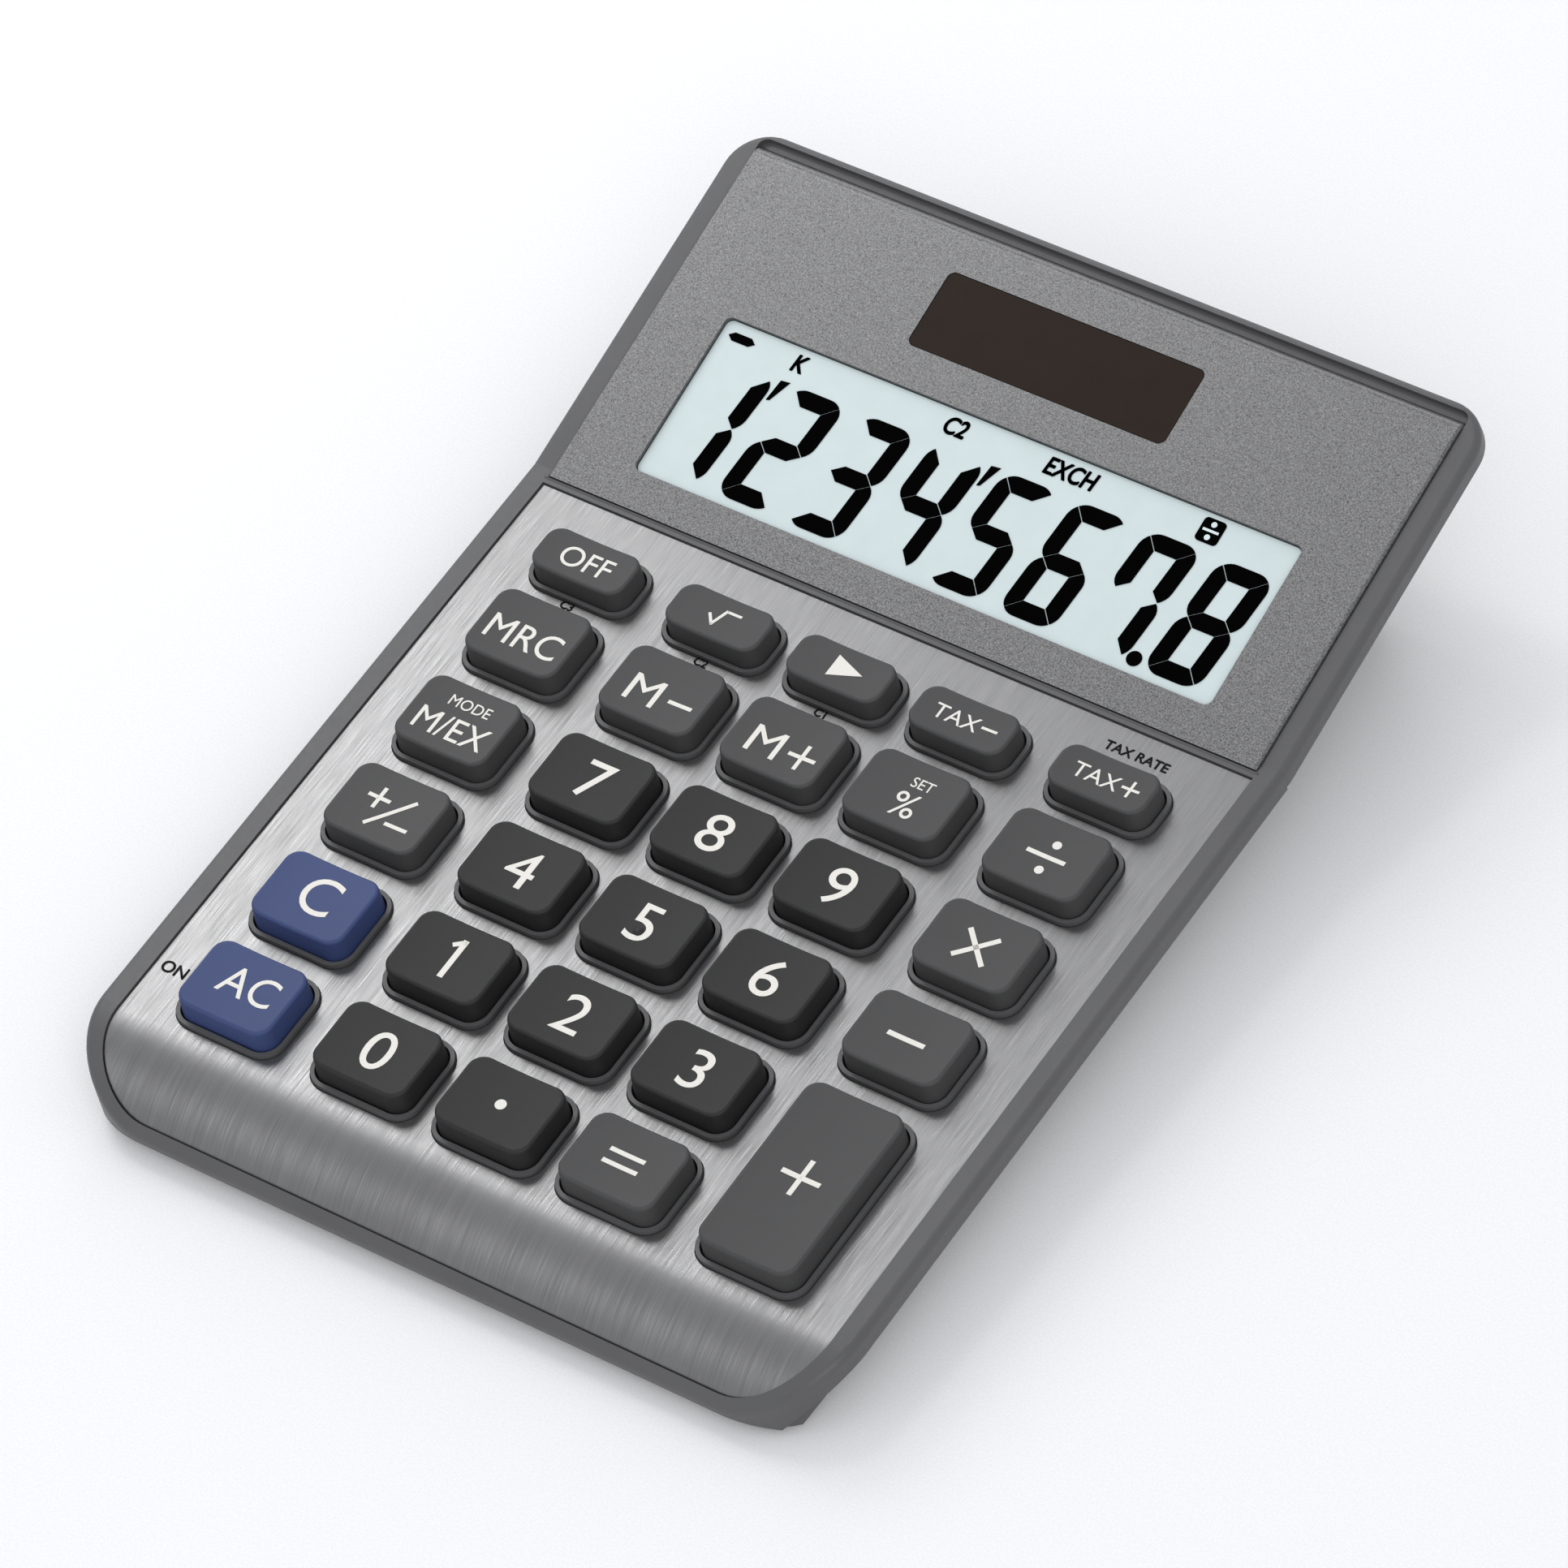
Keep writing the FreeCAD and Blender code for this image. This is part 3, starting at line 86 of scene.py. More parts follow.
class Graph:
    """A material's node tree, with short calls to add and join nodes."""

    def __init__(self, name: str) -> None:
        """Starts an empty material with one Principled shader.

        Args:
            name: the material's name.
        """
        self.material = bpy.data.materials.new(name)
        self.material.use_nodes = True
        self.tree = self.material.node_tree
        self.tree.nodes.clear()
        self.out = self.tree.nodes.new("ShaderNodeOutputMaterial")
        self.shader = self.tree.nodes.new("ShaderNodeBsdfPrincipled")
        self.join(self.shader.outputs[0], self.out.inputs["Surface"])
        self.coords = self.tree.nodes.new("ShaderNodeTexCoord").outputs["Object"]

    def join(self, source: bpy.types.NodeSocket, target: bpy.types.NodeSocket) -> None:
        """Links an output to an input."""
        self.tree.links.new(source, target)

    def stretched(self, scale: tuple[float, float, float], turn: float = 0.0) -> bpy.types.NodeSocket:
        """Object coordinates scaled along each axis.

        Args:
            scale: repeats per metre along X, Y and Z.
            turn: a turn about X in degrees, made before the scale.

        Returns:
            The mapped vector.
        """
        mapping = self.tree.nodes.new("ShaderNodeMapping")
        mapping.vector_type = "POINT"
        mapping.inputs["Rotation"].default_value = (math.radians(turn), 0.0, 0.0)
        mapping.inputs["Scale"].default_value = scale
        self.join(self.coords, mapping.inputs["Vector"])
        return mapping.outputs["Vector"]

    def noise(
        self, vector: bpy.types.NodeSocket, scale: float, detail: float = 2.0, rough: float = 0.5
    ) -> bpy.types.NodeSocket:
        """Noise over a vector.

        Args:
            vector: the coordinates.
            scale: the noise's scale.
            detail: octaves of finer noise.
            rough: strength of the finer octaves.

        Returns:
            The noise value, about 0.5.
        """
        node = self.tree.nodes.new("ShaderNodeTexNoise")
        node.inputs["Scale"].default_value = scale
        node.inputs["Detail"].default_value = detail
        node.inputs["Roughness"].default_value = rough
        self.join(vector, node.inputs["Vector"])
        return node.outputs["Fac"]

    def spread(
        self, value: bpy.types.NodeSocket, low: float, high: float, begin: float = 0.3, end: float = 0.7
    ) -> bpy.types.NodeSocket:
        """Maps a value from begin..end to low..high.

        Args:
            value: the input.
            low: result at begin.
            high: result at end.
            begin: lower input limit.
            end: upper input limit.

        Returns:
            The mapped value.
        """
        node = self.tree.nodes.new("ShaderNodeMapRange")
        for name, number in (("From Min", begin), ("From Max", end), ("To Min", low), ("To Max", high)):
            node.inputs[name].default_value = number
        self.join(value, node.inputs["Value"])
        return node.outputs["Result"]

    def blend(self, factor: bpy.types.NodeSocket, first: Colour, second: Colour) -> bpy.types.NodeSocket:
        """Mixes two colours by a factor.

        Args:
            factor: 0 for the first colour, 1 for the second.
            first: linear colour.
            second: linear colour.

        Returns:
            The mixed colour.
        """
        node = self.tree.nodes.new("ShaderNodeMix")
        node.data_type = "RGBA"
        node.inputs[MIX_FIRST].default_value = (*first, 1.0)
        node.inputs[MIX_SECOND].default_value = (*second, 1.0)
        self.join(factor, node.inputs[MIX_FACTOR])
        return node.outputs[MIX_COLOUR]

    def bump(self, height: bpy.types.NodeSocket, strength: float, distance: float) -> None:
        """Adds relief to the shader.

        Args:
            height: the relief value.
            strength: 0 to 1.
            distance: relief depth in metres.
        """
        node = self.tree.nodes.new("ShaderNodeBump")
        node.inputs["Strength"].default_value = strength
        node.inputs["Distance"].default_value = distance
        self.join(height, node.inputs["Height"])
        self.join(node.outputs["Normal"], self.shader.inputs["Normal"])

    def put(self, **values: float) -> None:
        """Sets plain numbers on the shader's sockets, by the short names in TITLES."""
        for name, number in values.items():
            self.shader.inputs[TITLES[name]].default_value = number

    def colour(self, source: bpy.types.NodeSocket) -> None:
        """Feeds the base colour."""
        self.join(source, self.shader.inputs["Base Color"])

    def rough(self, source: bpy.types.NodeSocket) -> None:
        """Feeds the roughness."""
        self.join(source, self.shader.inputs["Roughness"])


TITLES = {
    "metallic": "Metallic",
    "specular": "Specular IOR Level",
    "coat": "Coat Weight",
    "coat_roughness": "Coat Roughness",
}


def scaled(colour: Colour, factor: float) -> Colour:
    """A colour made lighter or darker."""
    return (colour[0] * factor, colour[1] * factor, colour[2] * factor)


# ---- finishes


@dataclass(frozen=True)
class Moulded:
    """Moulded plastic with a fine spark-eroded grain."""

    name: str
    colour: Colour
    roughness: float = 0.5
    grain: float = 0.35
    depth: float = 0.02
    mottle: float = 0.05
    specular: float = 0.5

    def build(self) -> bpy.types.Material:
        """Makes the material; grain is its size in millimetres, depth its relief."""
        graph = Graph(self.name)
        graph.put(specular=self.specular)
        fine = graph.noise(graph.coords, 1.0 / (self.grain * MM), 3.0, 0.6)
        broad = graph.noise(graph.coords, 90.0, 3.0)
        tone = graph.blend(
            graph.spread(broad, 0.0, 1.0), scaled(self.colour, 1 - self.mottle), scaled(self.colour, 1 + self.mottle)
        )
        graph.colour(tone)
        graph.rough(graph.spread(fine, self.roughness - 0.06, self.roughness + 0.06))
        graph.bump(fine, 0.8, self.depth * MM)
        return graph.material


@dataclass(frozen=True)
class Brushed:
    """Metal sheet brushed along Y, with short overlapping scratches."""

    name: str
    light: Colour
    dark: Colour
    roughness: float = 0.34
    streak: float = 7.0
    width: float = 0.09
    relief: float = 0.006
    turn: float = -3.5

    def build(self) -> bpy.types.Material:
        """Makes the material; streak and width are a scratch's length and width."""
        graph = Graph(self.name)
        graph.put(metallic=1.0)
        along = 1.0 / (self.streak * MM)
        across = 1.0 / (self.width * MM)
        lines = graph.noise(graph.stretched((across, along, along), self.turn), 1.0, 3.0, 0.65)
        broad = graph.noise(graph.stretched((across / 9, along / 3, along / 3), self.turn), 1.0, 2.0)
        mixed = graph.tree.nodes.new("ShaderNodeMath")
        mixed.operation = "MULTIPLY_ADD"
        graph.join(broad, mixed.inputs[0])
        mixed.inputs[1].default_value = 0.4
        graph.join(graph.spread(lines, 0.0, 0.8, 0.25, 0.75), mixed.inputs[2])
        graph.colour(graph.blend(mixed.outputs[0], self.dark, self.light))
        graph.rough(graph.spread(lines, self.roughness + 0.08, self.roughness - 0.08))
        graph.bump(lines, 1.0, self.relief * MM)
        return graph.material


@dataclass(frozen=True)
class Speckled:
    """Metallic lacquer with fine bright and dark flakes."""

    name: str
    colour: Colour
    roughness: float = 0.4
    flake: float = 0.16
    contrast: float = 0.3

    def build(self) -> bpy.types.Material:
        """Makes the material; flake is a flake's size in millimetres."""
        graph = Graph(self.name)
        graph.put(metallic=0.55, coat=0.15, coat_roughness=0.25)
        fine = graph.noise(graph.coords, 1.0 / (self.flake * MM), 4.0, 0.75)
        tone = graph.spread(fine, 0.0, 1.0, 0.32, 0.68)
        dark = scaled(self.colour, 1 - self.contrast)
        light = scaled(self.colour, 1 + self.contrast)
        graph.colour(graph.blend(tone, dark, light))
        graph.rough(graph.spread(fine, self.roughness - 0.1, self.roughness + 0.1))
        graph.bump(fine, 0.6, 0.012 * MM)
        return graph.material


@dataclass(frozen=True)
class Ink:
    """Pad-printed or screen-printed ink: dense, very thin, slightly uneven."""

    name: str
    colour: Colour
    roughness: float = 0.5
    specular: float = 0.4

    def build(self) -> bpy.types.Material:
        """Makes the material."""
        graph = Graph(self.name)
        graph.put(specular=self.specular)
        cloud = graph.noise(graph.coords, 4000.0, 2.0)
        graph.colour(graph.blend(graph.spread(cloud, 0.0, 1.0), scaled(self.colour, 0.96), scaled(self.colour, 1.04)))
        graph.rough(graph.spread(cloud, self.roughness - 0.05, self.roughness + 0.05))
        return graph.material


@dataclass(frozen=True)
class Polished:
    """Smooth panel such as a film, a resin or a cell: faint clouding, thin clear coat."""

    name: str
    colour: Colour
    roughness: float = 0.2
    coat: float = 0.0
    metallic: float = 0.0
    specular: float = 0.5

    def build(self) -> bpy.types.Material:
        """Makes the material."""
        graph = Graph(self.name)
        graph.put(metallic=self.metallic, coat=self.coat, coat_roughness=0.08, specular=self.specular)
        cloud = graph.noise(graph.coords, 300.0, 3.0)
        graph.colour(graph.blend(graph.spread(cloud, 0.0, 1.0), scaled(self.colour, 0.98), scaled(self.colour, 1.02)))
        graph.rough(graph.spread(cloud, self.roughness * 0.9, self.roughness * 1.1))
        return graph.material


@dataclass(frozen=True)
class Steel:
    """Plated or stamped steel with faint turning marks."""

    name: str
    colour: Colour = (0.48, 0.48, 0.49)
    roughness: float = 0.3

    def build(self) -> bpy.types.Material:
        """Makes the material."""
        graph = Graph(self.name)
        graph.put(metallic=1.0)
        marks = graph.noise(graph.coords, 2500.0, 4.0)
        graph.colour(graph.blend(graph.spread(marks, 0.0, 1.0), scaled(self.colour, 0.85), scaled(self.colour, 1.1)))
        graph.rough(graph.spread(marks, self.roughness - 0.08, self.roughness + 0.12))
        graph.bump(marks, 0.4, 0.01 * MM)
        return graph.material


CASING = Moulded("casing_plastic", (0.085, 0.085, 0.086), 0.46, 0.4, 0.02)
DIGIT_KEY = Moulded("digit_key_plastic", (0.022, 0.022, 0.022), 0.5, 0.16, 0.006, 0.03, 0.25)
FUNCTION_KEY = Moulded("function_key_plastic", (0.058, 0.058, 0.058), 0.5, 0.16, 0.006, 0.03, 0.3)
BLUE_KEY = Moulded("blue_key_plastic", (0.040, 0.062, 0.170), 0.5, 0.16, 0.006, 0.03, 0.3)
RUBBER = Moulded("foot_rubber", (0.02, 0.02, 0.021), 0.8, 0.6, 0.03)
SILICONE = Moulded("mat_silicone", (0.45, 0.46, 0.47), 0.6, 0.5, 0.01)
LAMINATE = Moulded("board_laminate", (0.03, 0.16, 0.06), 0.4, 0.4, 0.005)
SLEEVE = Moulded("lead_sleeve", (0.30, 0.03, 0.02), 0.4, 0.3, 0.003)
PLATE = Brushed("brushed_plate", (0.275, 0.275, 0.275), (0.15, 0.15, 0.15))
BEZEL = Speckled("bezel_lacquer", (0.150, 0.150, 0.150), 0.38, 0.18, 0.9)
PALE_INK = Ink("pale_ink", (0.78, 0.76, 0.70))
BLACK_INK = Ink("black_ink", (0.008, 0.008, 0.008))
SCREEN_INK = Ink("screen_figure", (0.0006, 0.0006, 0.0006), 0.9, 0.02)
SCREEN = Polished("screen_film", (0.60, 0.69, 0.69), 0.35, 0.0, 0.0, 0.3)
SOLAR = Polished("solar_cell", (0.018, 0.010, 0.006), 0.4, 0.0, 0.0, 0.1)
RESIN = Polished("chip_resin", (0.01, 0.01, 0.01), 0.15)
RIBBON = Polished("ribbon_film", (0.25, 0.20, 0.09), 0.3)
STEEL = Steel("plated_steel")
HOLDER = Moulded("holder_plastic", (0.05, 0.05, 0.05), 0.5, 0.4, 0.01)
MIRROR = Polished("screen_mirror", (0.5, 0.52, 0.52), 0.3, 0.0, 1.0)
GLASS = Polished("screen_glass", (0.6, 0.66, 0.66), 0.05)


# ---- mesh helpers


def finished(name: str, mesh: bpy.types.Mesh, material: bpy.types.Material, body: str) -> bpy.types.Object:
    """Puts a mesh in the scene as a piece that rides on a body.

    Args:
        name: the piece's name.
        mesh: its mesh, already in the desk frame.
        material: its only material.
        body: the CAD body it moves with.

    Returns:
        The new object.
    """
    mesh.name = name
    mesh.materials.clear()
    mesh.materials.append(material)
    piece = bpy.data.objects.new(name, mesh)
    bpy.context.collection.objects.link(piece)
    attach(piece, body)
    return piece


def slab(outlines: list[list[Point]], low: float, high: float) -> bpy.types.Mesh:
    """Extrudes flat outlines into closed solids.

    Args:
        outlines: anticlockwise outlines in millimetres.
        low: lower face height.
        high: upper face height.

    Returns:
        One mesh with a solid for each outline.
    """
    shape = bmesh.new()
    for outline in outlines:
        base = [shape.verts.new((x, y, low)) for x, y in outline]
        top = [shape.verts.new((x, y, high)) for x, y in outline]
        count = len(outline)
        shape.faces.new(top)
        shape.faces.new(base[::-1])
        for index in range(count):
            after = (index + 1) % count
            shape.faces.new((base[index], base[after], top[after], top[index]))
    bmesh.ops.recalc_face_normals(shape, faces=shape.faces)
    mesh = bpy.data.meshes.new("slab")
    shape.to_mesh(mesh)
    shape.free()
    return mesh


def disc(middle: Point, radius: float, steps: int = 32) -> list[Point]:
    """A circle as an outline."""
    turn = 2 * math.pi / steps
    return [(middle[0] + radius * math.cos(turn * i), middle[1] + radius * math.sin(turn * i)) for i in range(steps)]


def arc(middle: Point, radius: float, begin: float, finish: float, steps: int = 4) -> list[Point]:
    """Points along an arc, from one angle in degrees to another."""
    angles = [math.radians(begin + (finish - begin) * step / steps) for step in range(steps + 1)]
    return [(middle[0] + radius * math.cos(angle), middle[1] + radius * math.sin(angle)) for angle in angles]


def bar(start: Point, end: Point, width: float) -> list[Point]:
    """A straight stroke with square ends as an outline."""
    run = Vector((end[0] - start[0], end[1] - start[1])).normalized()
    side = Vector((-run.y, run.x)) * (width / 2)
    first, last = Vector(start), Vector(end)
    corners = [first - side, last - side, last + side, first + side]
    return [(corner.x, corner.y) for corner in corners]


def drape(mesh: bpy.types.Mesh, curve: "Dish", step: float = 0.6) -> None:
    """Bends a thin flat mesh so that it lies on a dished key top.

    Args:
        mesh: the mesh, in the key's own millimetres.
        curve: the dish.
        step: spacing of the cuts that let it bend.
    """
    shape = bmesh.new()
    shape.from_mesh(mesh)
    reach = max((abs(vertex.co.x) for vertex in shape.verts), default=0.0)
    count = int(reach / step)
    for index in range(-count, count + 1):
        everything = shape.verts[:] + shape.edges[:] + shape.faces[:]
        bmesh.ops.bisect_plane(shape, geom=everything, plane_co=(index * step, 0, 0), plane_no=(1, 0, 0))
    for vertex in shape.verts:
        vertex.co.z += curve.drop(vertex.co.x)
    shape.to_mesh(mesh)
    shape.free()


def lettering(
    words: str, height: float, weight: float = 0.0, squeeze: float = 1.0, lean: float = 0.0
) -> bpy.types.Mesh:
    """A line of print as a thin closed mesh in millimetres, half sunk below z = 0.

    Args:
        words: the characters.
        height: capital height.
        weight: extra stroke thickness on each side, from shifted copies.
        squeeze: width factor.
        lean: slant in degrees.

    Returns:
        The mesh.
    """
    curve = bpy.data.curves.new("print", "FONT")
    curve.body = words
    curve.size = height / CAP_SHARE
    curve.align_x = "CENTER"
    curve.align_y = "BOTTOM_BASELINE"
    curve.extrude = PRINT_DEPTH
    curve.resolution_u = 6
    carrier = bpy.data.objects.new("print", curve)
    bpy.context.collection.objects.link(carrier)
    bpy.context.view_layer.update()
    evaluated = carrier.evaluated_get(bpy.context.evaluated_depsgraph_get())
    mesh = bpy.data.meshes.new_from_object(evaluated)
    bpy.data.objects.remove(carrier)
    bpy.data.curves.remove(curve)
    shear = Matrix.Identity(4)
    shear[0][1] = math.tan(math.radians(lean))
    mesh.transform(shear @ Matrix.Diagonal((squeeze, 1.0, 1.0, 1.0)))
    if weight <= 0:
        return mesh
    copies = [mesh]
    for step in range(8):
        angle = math.pi / 4 * step
        copies.append(moved(mesh.copy(), weight * math.cos(angle), weight * math.sin(angle)))
    return merged(copies)


def figure_one(height: float) -> list[list[Point]]:
    """The strokes of a plain 1 of some height about its middle."""
    width = height * 0.13
    half = height / 2
    stem = [(-width / 2, -half), (width / 2, -half), (width / 2, half), (-width / 2, half)]
    flag = [(-width * 1.9, half * 0.66), (-width * 1.4, half * 0.5), (width * 0.3, half * 0.8), (width * 0.3, half)]
    flag.append((-width * 0.2, half))
    return [stem, flag]


def merged(meshes: list[bpy.types.Mesh]) -> bpy.types.Mesh:
    """Joins several meshes into one."""
    shape = bmesh.new()
    for mesh in meshes:
        shape.from_mesh(mesh)
        bpy.data.meshes.remove(mesh)
    result = bpy.data.meshes.new("merged")
    shape.to_mesh(result)
    shape.free()
    return result


def moved(mesh: bpy.types.Mesh, across: float, along: float, up: float = 0.0) -> bpy.types.Mesh:
    """Shifts a mesh and returns it."""
    mesh.transform(Matrix.Translation((across, along, up)))
    return mesh


def coat(node: str, material: bpy.types.Material) -> None:
    """Gives a CAD node one finish through its material slots."""
    target = bpy.data.objects[node]
    if not target.material_slots:
        target.data.materials.append(material)
    for slot in target.material_slots:
        slot.material = material


# ---- keys


@dataclass(frozen=True)
class Dish:
    """The shallow hollow across a key's top: its depth and half its width."""

    depth: float
    half: float

    def drop(self, across: float) -> float:
        """Height of the surface at a distance from the middle, against the key's rim."""
        radius = (self.half**2 + self.depth**2) / (2 * self.depth)
        return radius - self.depth - math.sqrt(radius**2 - across**2)


class KeyKind(Enum):
    """The three colours of key."""

    DIGIT = "digit"
    FUNCTION = "function"
    BLUE = "blue"


@dataclass(frozen=True)
class Line:
    """One line of a legend: text, capital height, place against the key's middle."""

    words: str
    height: float
    across: float = 0.0
    along: float = 0.0
    squeeze: float = 1.0


@dataclass(frozen=True)
class Legend:
    """What a key carries: lines of text and drawn strokes."""

    lines: tuple[Line, ...] = ()
    strokes: tuple[Stroke, ...] = ()
    dots: tuple[tuple[Point, float], ...] = ()
    shapes: tuple[list[Point], ...] = ()


def minus_sign(across: float, along: float, half: float, width: float) -> tuple[Stroke, ...]:
    """A level stroke about its middle, half as long as given to each side."""
    return (((across - half, along), (across + half, along), width),)


def plus_sign(across: float, along: float, half: float, width: float) -> tuple[Stroke, ...]:
    """A level and an upright stroke about one middle."""
    upright = ((across, along - half), (across, along + half), width)
    return (*minus_sign(across, along, half, width), upright)


@dataclass
class Keypad:
    """All keys: colours, legends and the locating dot on the middle key."""

    outer_column: float = 35.4
    inner_column: float = 16.7
    row_pitch: float = 14.05
    front_row: float = -77.2
    top_row: float = -9.25
    rise: float = 3.6
    dish: Dish = field(default_factory=lambda: Dish(0.3, 6.62))
    print_lift: float = 0.02
    digit_height: float = 5.45
    digit_shift: float = 0.3
    digit_squeeze: float = 1.1
    one_height: float = 5.5
    one_shift: float = 0.45
    dot_shift: Point = (0.35, -1.45)
    dot_seat: float = 0.4
    dot_sink: float = 0.01

    def columns(self) -> list[float]:
        """The five column positions."""
        return [-self.outer_column, -self.inner_column, 0.0, self.inner_column, self.outer_column]

    def place(self, column: int, row: float) -> Point:
        """Middle of a key from its column and its row counted from the front."""
        if row == 5:
            return self.columns()[column], self.top_row
        return self.columns()[column], self.front_row + self.row_pitch * row

    def layout(self) -> dict[str, tuple[Point, KeyKind, Legend]]:
        """Every key's node with its middle, colour and legend."""
        keys: dict[str, tuple[Point, KeyKind, Legend]] = {}

        def add(node: str, column: int, row: float, legend: Legend, kind: KeyKind = KeyKind.FUNCTION) -> None:
            keys[node] = (self.place(column, row), kind, legend)

        def digits(names: str, column: int, row: int) -> None:
            for step, name in enumerate(names):
                line = Line(name, self.digit_height, self.digit_shift, self.print_lift, self.digit_squeeze)
                add(f"key_{name}", column + step, row, Legend((line,)), KeyKind.DIGIT)

        add("key_ac", 0, 0, Legend((Line("AC", 4.05, 0.8, 0.5, 0.98),)), KeyKind.BLUE)
        digits("0", 1, 0)
        add("key_point", 2, 0, Legend(dots=(((0.1, 0.05), 0.68),)), KeyKind.DIGIT)
        equals = minus_sign(0.0, 0.8, 2.3, 0.55) + minus_sign(0.0, -0.85, 2.3, 0.55)
        add("key_equals", 3, 0, Legend(strokes=equals))
        add("key_plus", 4, 0.5, Legend(strokes=plus_sign(0.0, 0.0, 2.5, 0.62)))
        add("key_c", 0, 1, Legend((Line("C", 5.35, 0.4, 0.5),)), KeyKind.BLUE)
        strokes = figure_one(self.one_height)
        one = tuple([(x + self.one_shift, y + self.print_lift) for x, y in outline] for outline in strokes)
        add("key_1", 1, 1, Legend(shapes=one), KeyKind.DIGIT)
        digits("23", 2, 1)
        slash = ((-1.3, -2.9), (2.9, 2.1), 0.48)
        sign = (*plus_sign(-1.6, 0.85, 1.5, 0.48), slash, *minus_sign(2.55, -1.9, 1.55, 0.48))
        add("key_sign", 0, 2, Legend(strokes=sign))
        digits("456", 1, 2)
        add("key_minus", 4, 2, Legend(strokes=minus_sign(0.0, -0.3, 2.4, 0.62)))
        mode = (Line("MODE", 1.55, 0.25, 2.25, 0.95), Line("M/EX", 3.35, 0.0, -1.3, 0.95))
        add("key_mode", 0, 3, Legend(mode))
        digits("789", 1, 3)
        times = (((-2.0, -2.3), (2.0, 1.7), 0.62), ((-2.0, 1.7), (2.0, -2.3), 0.62))
        add("key_times", 4, 3, Legend(strokes=times))
        add("key_recall", 0, 4, Legend((Line("MRC", 3.65, 0.0, -0.65, 0.98),)))
        memory = (Line("M", 4.0, -1.75, -0.75, 1.15),)
        add("key_memory_minus", 1, 4, Legend(memory, minus_sign(3.2, -1.0, 1.6, 0.5)))
        add("key_memory_plus", 2, 4, Legend(memory, plus_sign(3.2, -1.0, 1.8, 0.5)))
        percent = (Line("SET", 1.45, 1.0, 1.95, 0.95), Line("%", 3.55, 0.6, -1.2))
        add("key_percent", 3, 4, Legend(percent))
        dots = (((0.4, 1.55), 0.55), ((0.4, -2.2), 0.55))
        add("key_divide", 4, 4, Legend(strokes=minus_sign(0.1, -0.3, 2.5, 0.55), dots=dots))
        add("key_off", 0, 5, Legend((Line("OFF", 2.95, 0.2, -0.05),)))
        root = (
            ((-1.4, 0.1), (-0.3, -1.3), 0.36),
            ((-0.45, -1.3), (0.45, 1.2), 0.36),
            ((0.28, 1.05), (2.4, 1.05), 0.34),
        )
        add("key_root", 1, 5, Legend(strokes=root))
        add("key_back", 2, 5, Legend(shapes=([(-1.17, -1.5), (2.9, 0.05), (-1.17, 1.6)],)))
        tax = (Line("TAX", 2.1, -0.95, 0.0, 1.05),)
        add("key_tax_minus", 3, 5, Legend(tax, minus_sign(3.45, 0.0, 1.05, 0.34)))
        add("key_tax_plus", 4, 5, Legend(tax, plus_sign(3.55, 0.0, 1.15, 0.34)))
        return keys

    def legend_mesh(self, legend: Legend) -> bpy.types.Mesh:
        """The print of one key, draped on its top.

        Args:
            legend: what to print.

        Returns:
            A mesh in the key's own millimetres.
        """
        parts = []
        for line in legend.lines:
            text = lettering(line.words, line.height, squeeze=line.squeeze)
            parts.append(moved(text, line.across, line.along - line.height / 2))
        outlines = [bar(start, end, width) for start, end, width in legend.strokes]
        outlines += [disc(middle, radius) for middle, radius in legend.dots]
        outlines += legend.shapes
        for outline in outlines:
            parts.append(slab([outline], -PRINT_DEPTH, PRINT_DEPTH))
        mesh = merged(parts)
        drape(mesh, self.dish)
        return mesh

    def dress(self) -> None:
        """Colours every key and lays its print on it."""
        finishes = {
            KeyKind.DIGIT: DIGIT_KEY.build(),
            KeyKind.FUNCTION: FUNCTION_KEY.build(),
            KeyKind.BLUE: BLUE_KEY.build(),
        }
        pale = PALE_INK.build()
        frame = KEYBOARD.matrix()
        for node, (middle, kind, legend) in self.layout().items():
            coat(node, finishes[kind])
            mesh = self.legend_mesh(legend)
            mesh.transform(Matrix.Translation((middle[0], middle[1], self.rise)))
            mesh.transform(frame)
            finished(f"{node}_print", mesh, pale, node)
            LOG.info("%s finished and printed", node)
        self.locating_dot(finishes[KeyKind.DIGIT])

    def locating_dot(self, finish: bpy.types.Material) -> None:
        """The small dome that a finger finds on the middle key."""
        middle = self.place(2, 2)
        shape = bmesh.new()
        radius, rise, rings, steps = 0.62, 0.36, 6, 24
        loops = []
        for ring in range(rings):
            angle = math.pi / 2 * ring / rings
            spread = radius * math.cos(angle)
            height = rise * math.sin(angle)
            loops.append(
                [
                    shape.verts.new(
                        (spread * math.cos(2 * math.pi * i / steps), spread * math.sin(2 * math.pi * i / steps), height)
                    )
                    for i in range(steps)
                ]
            )
        crown = shape.verts.new((0, 0, rise))
        for lower, upper in zip(loops, loops[1:]):
            for i in range(steps):
                j = (i + 1) % steps
                shape.faces.new((lower[i], lower[j], upper[j], upper[i]))
        for i in range(steps):
            shape.faces.new((loops[-1][i], loops[-1][(i + 1) % steps], crown))
        shape.faces.new(loops[0][::-1])
        bmesh.ops.recalc_face_normals(shape, faces=shape.faces)
        mesh = bpy.data.meshes.new("dot")
        shape.to_mesh(mesh)
        shape.free()
        for face in mesh.polygons:
            face.use_smooth = True
        lift = self.rise + self.dish.drop(self.dot_seat) - self.dot_sink
        across, along = self.dot_shift
        mesh.transform(Matrix.Translation((middle[0] + across, middle[1] + along, lift)))
        mesh.transform(KEYBOARD.matrix())
        finished("key_5_dot", mesh, finish, "key_5")


# ---- face plate


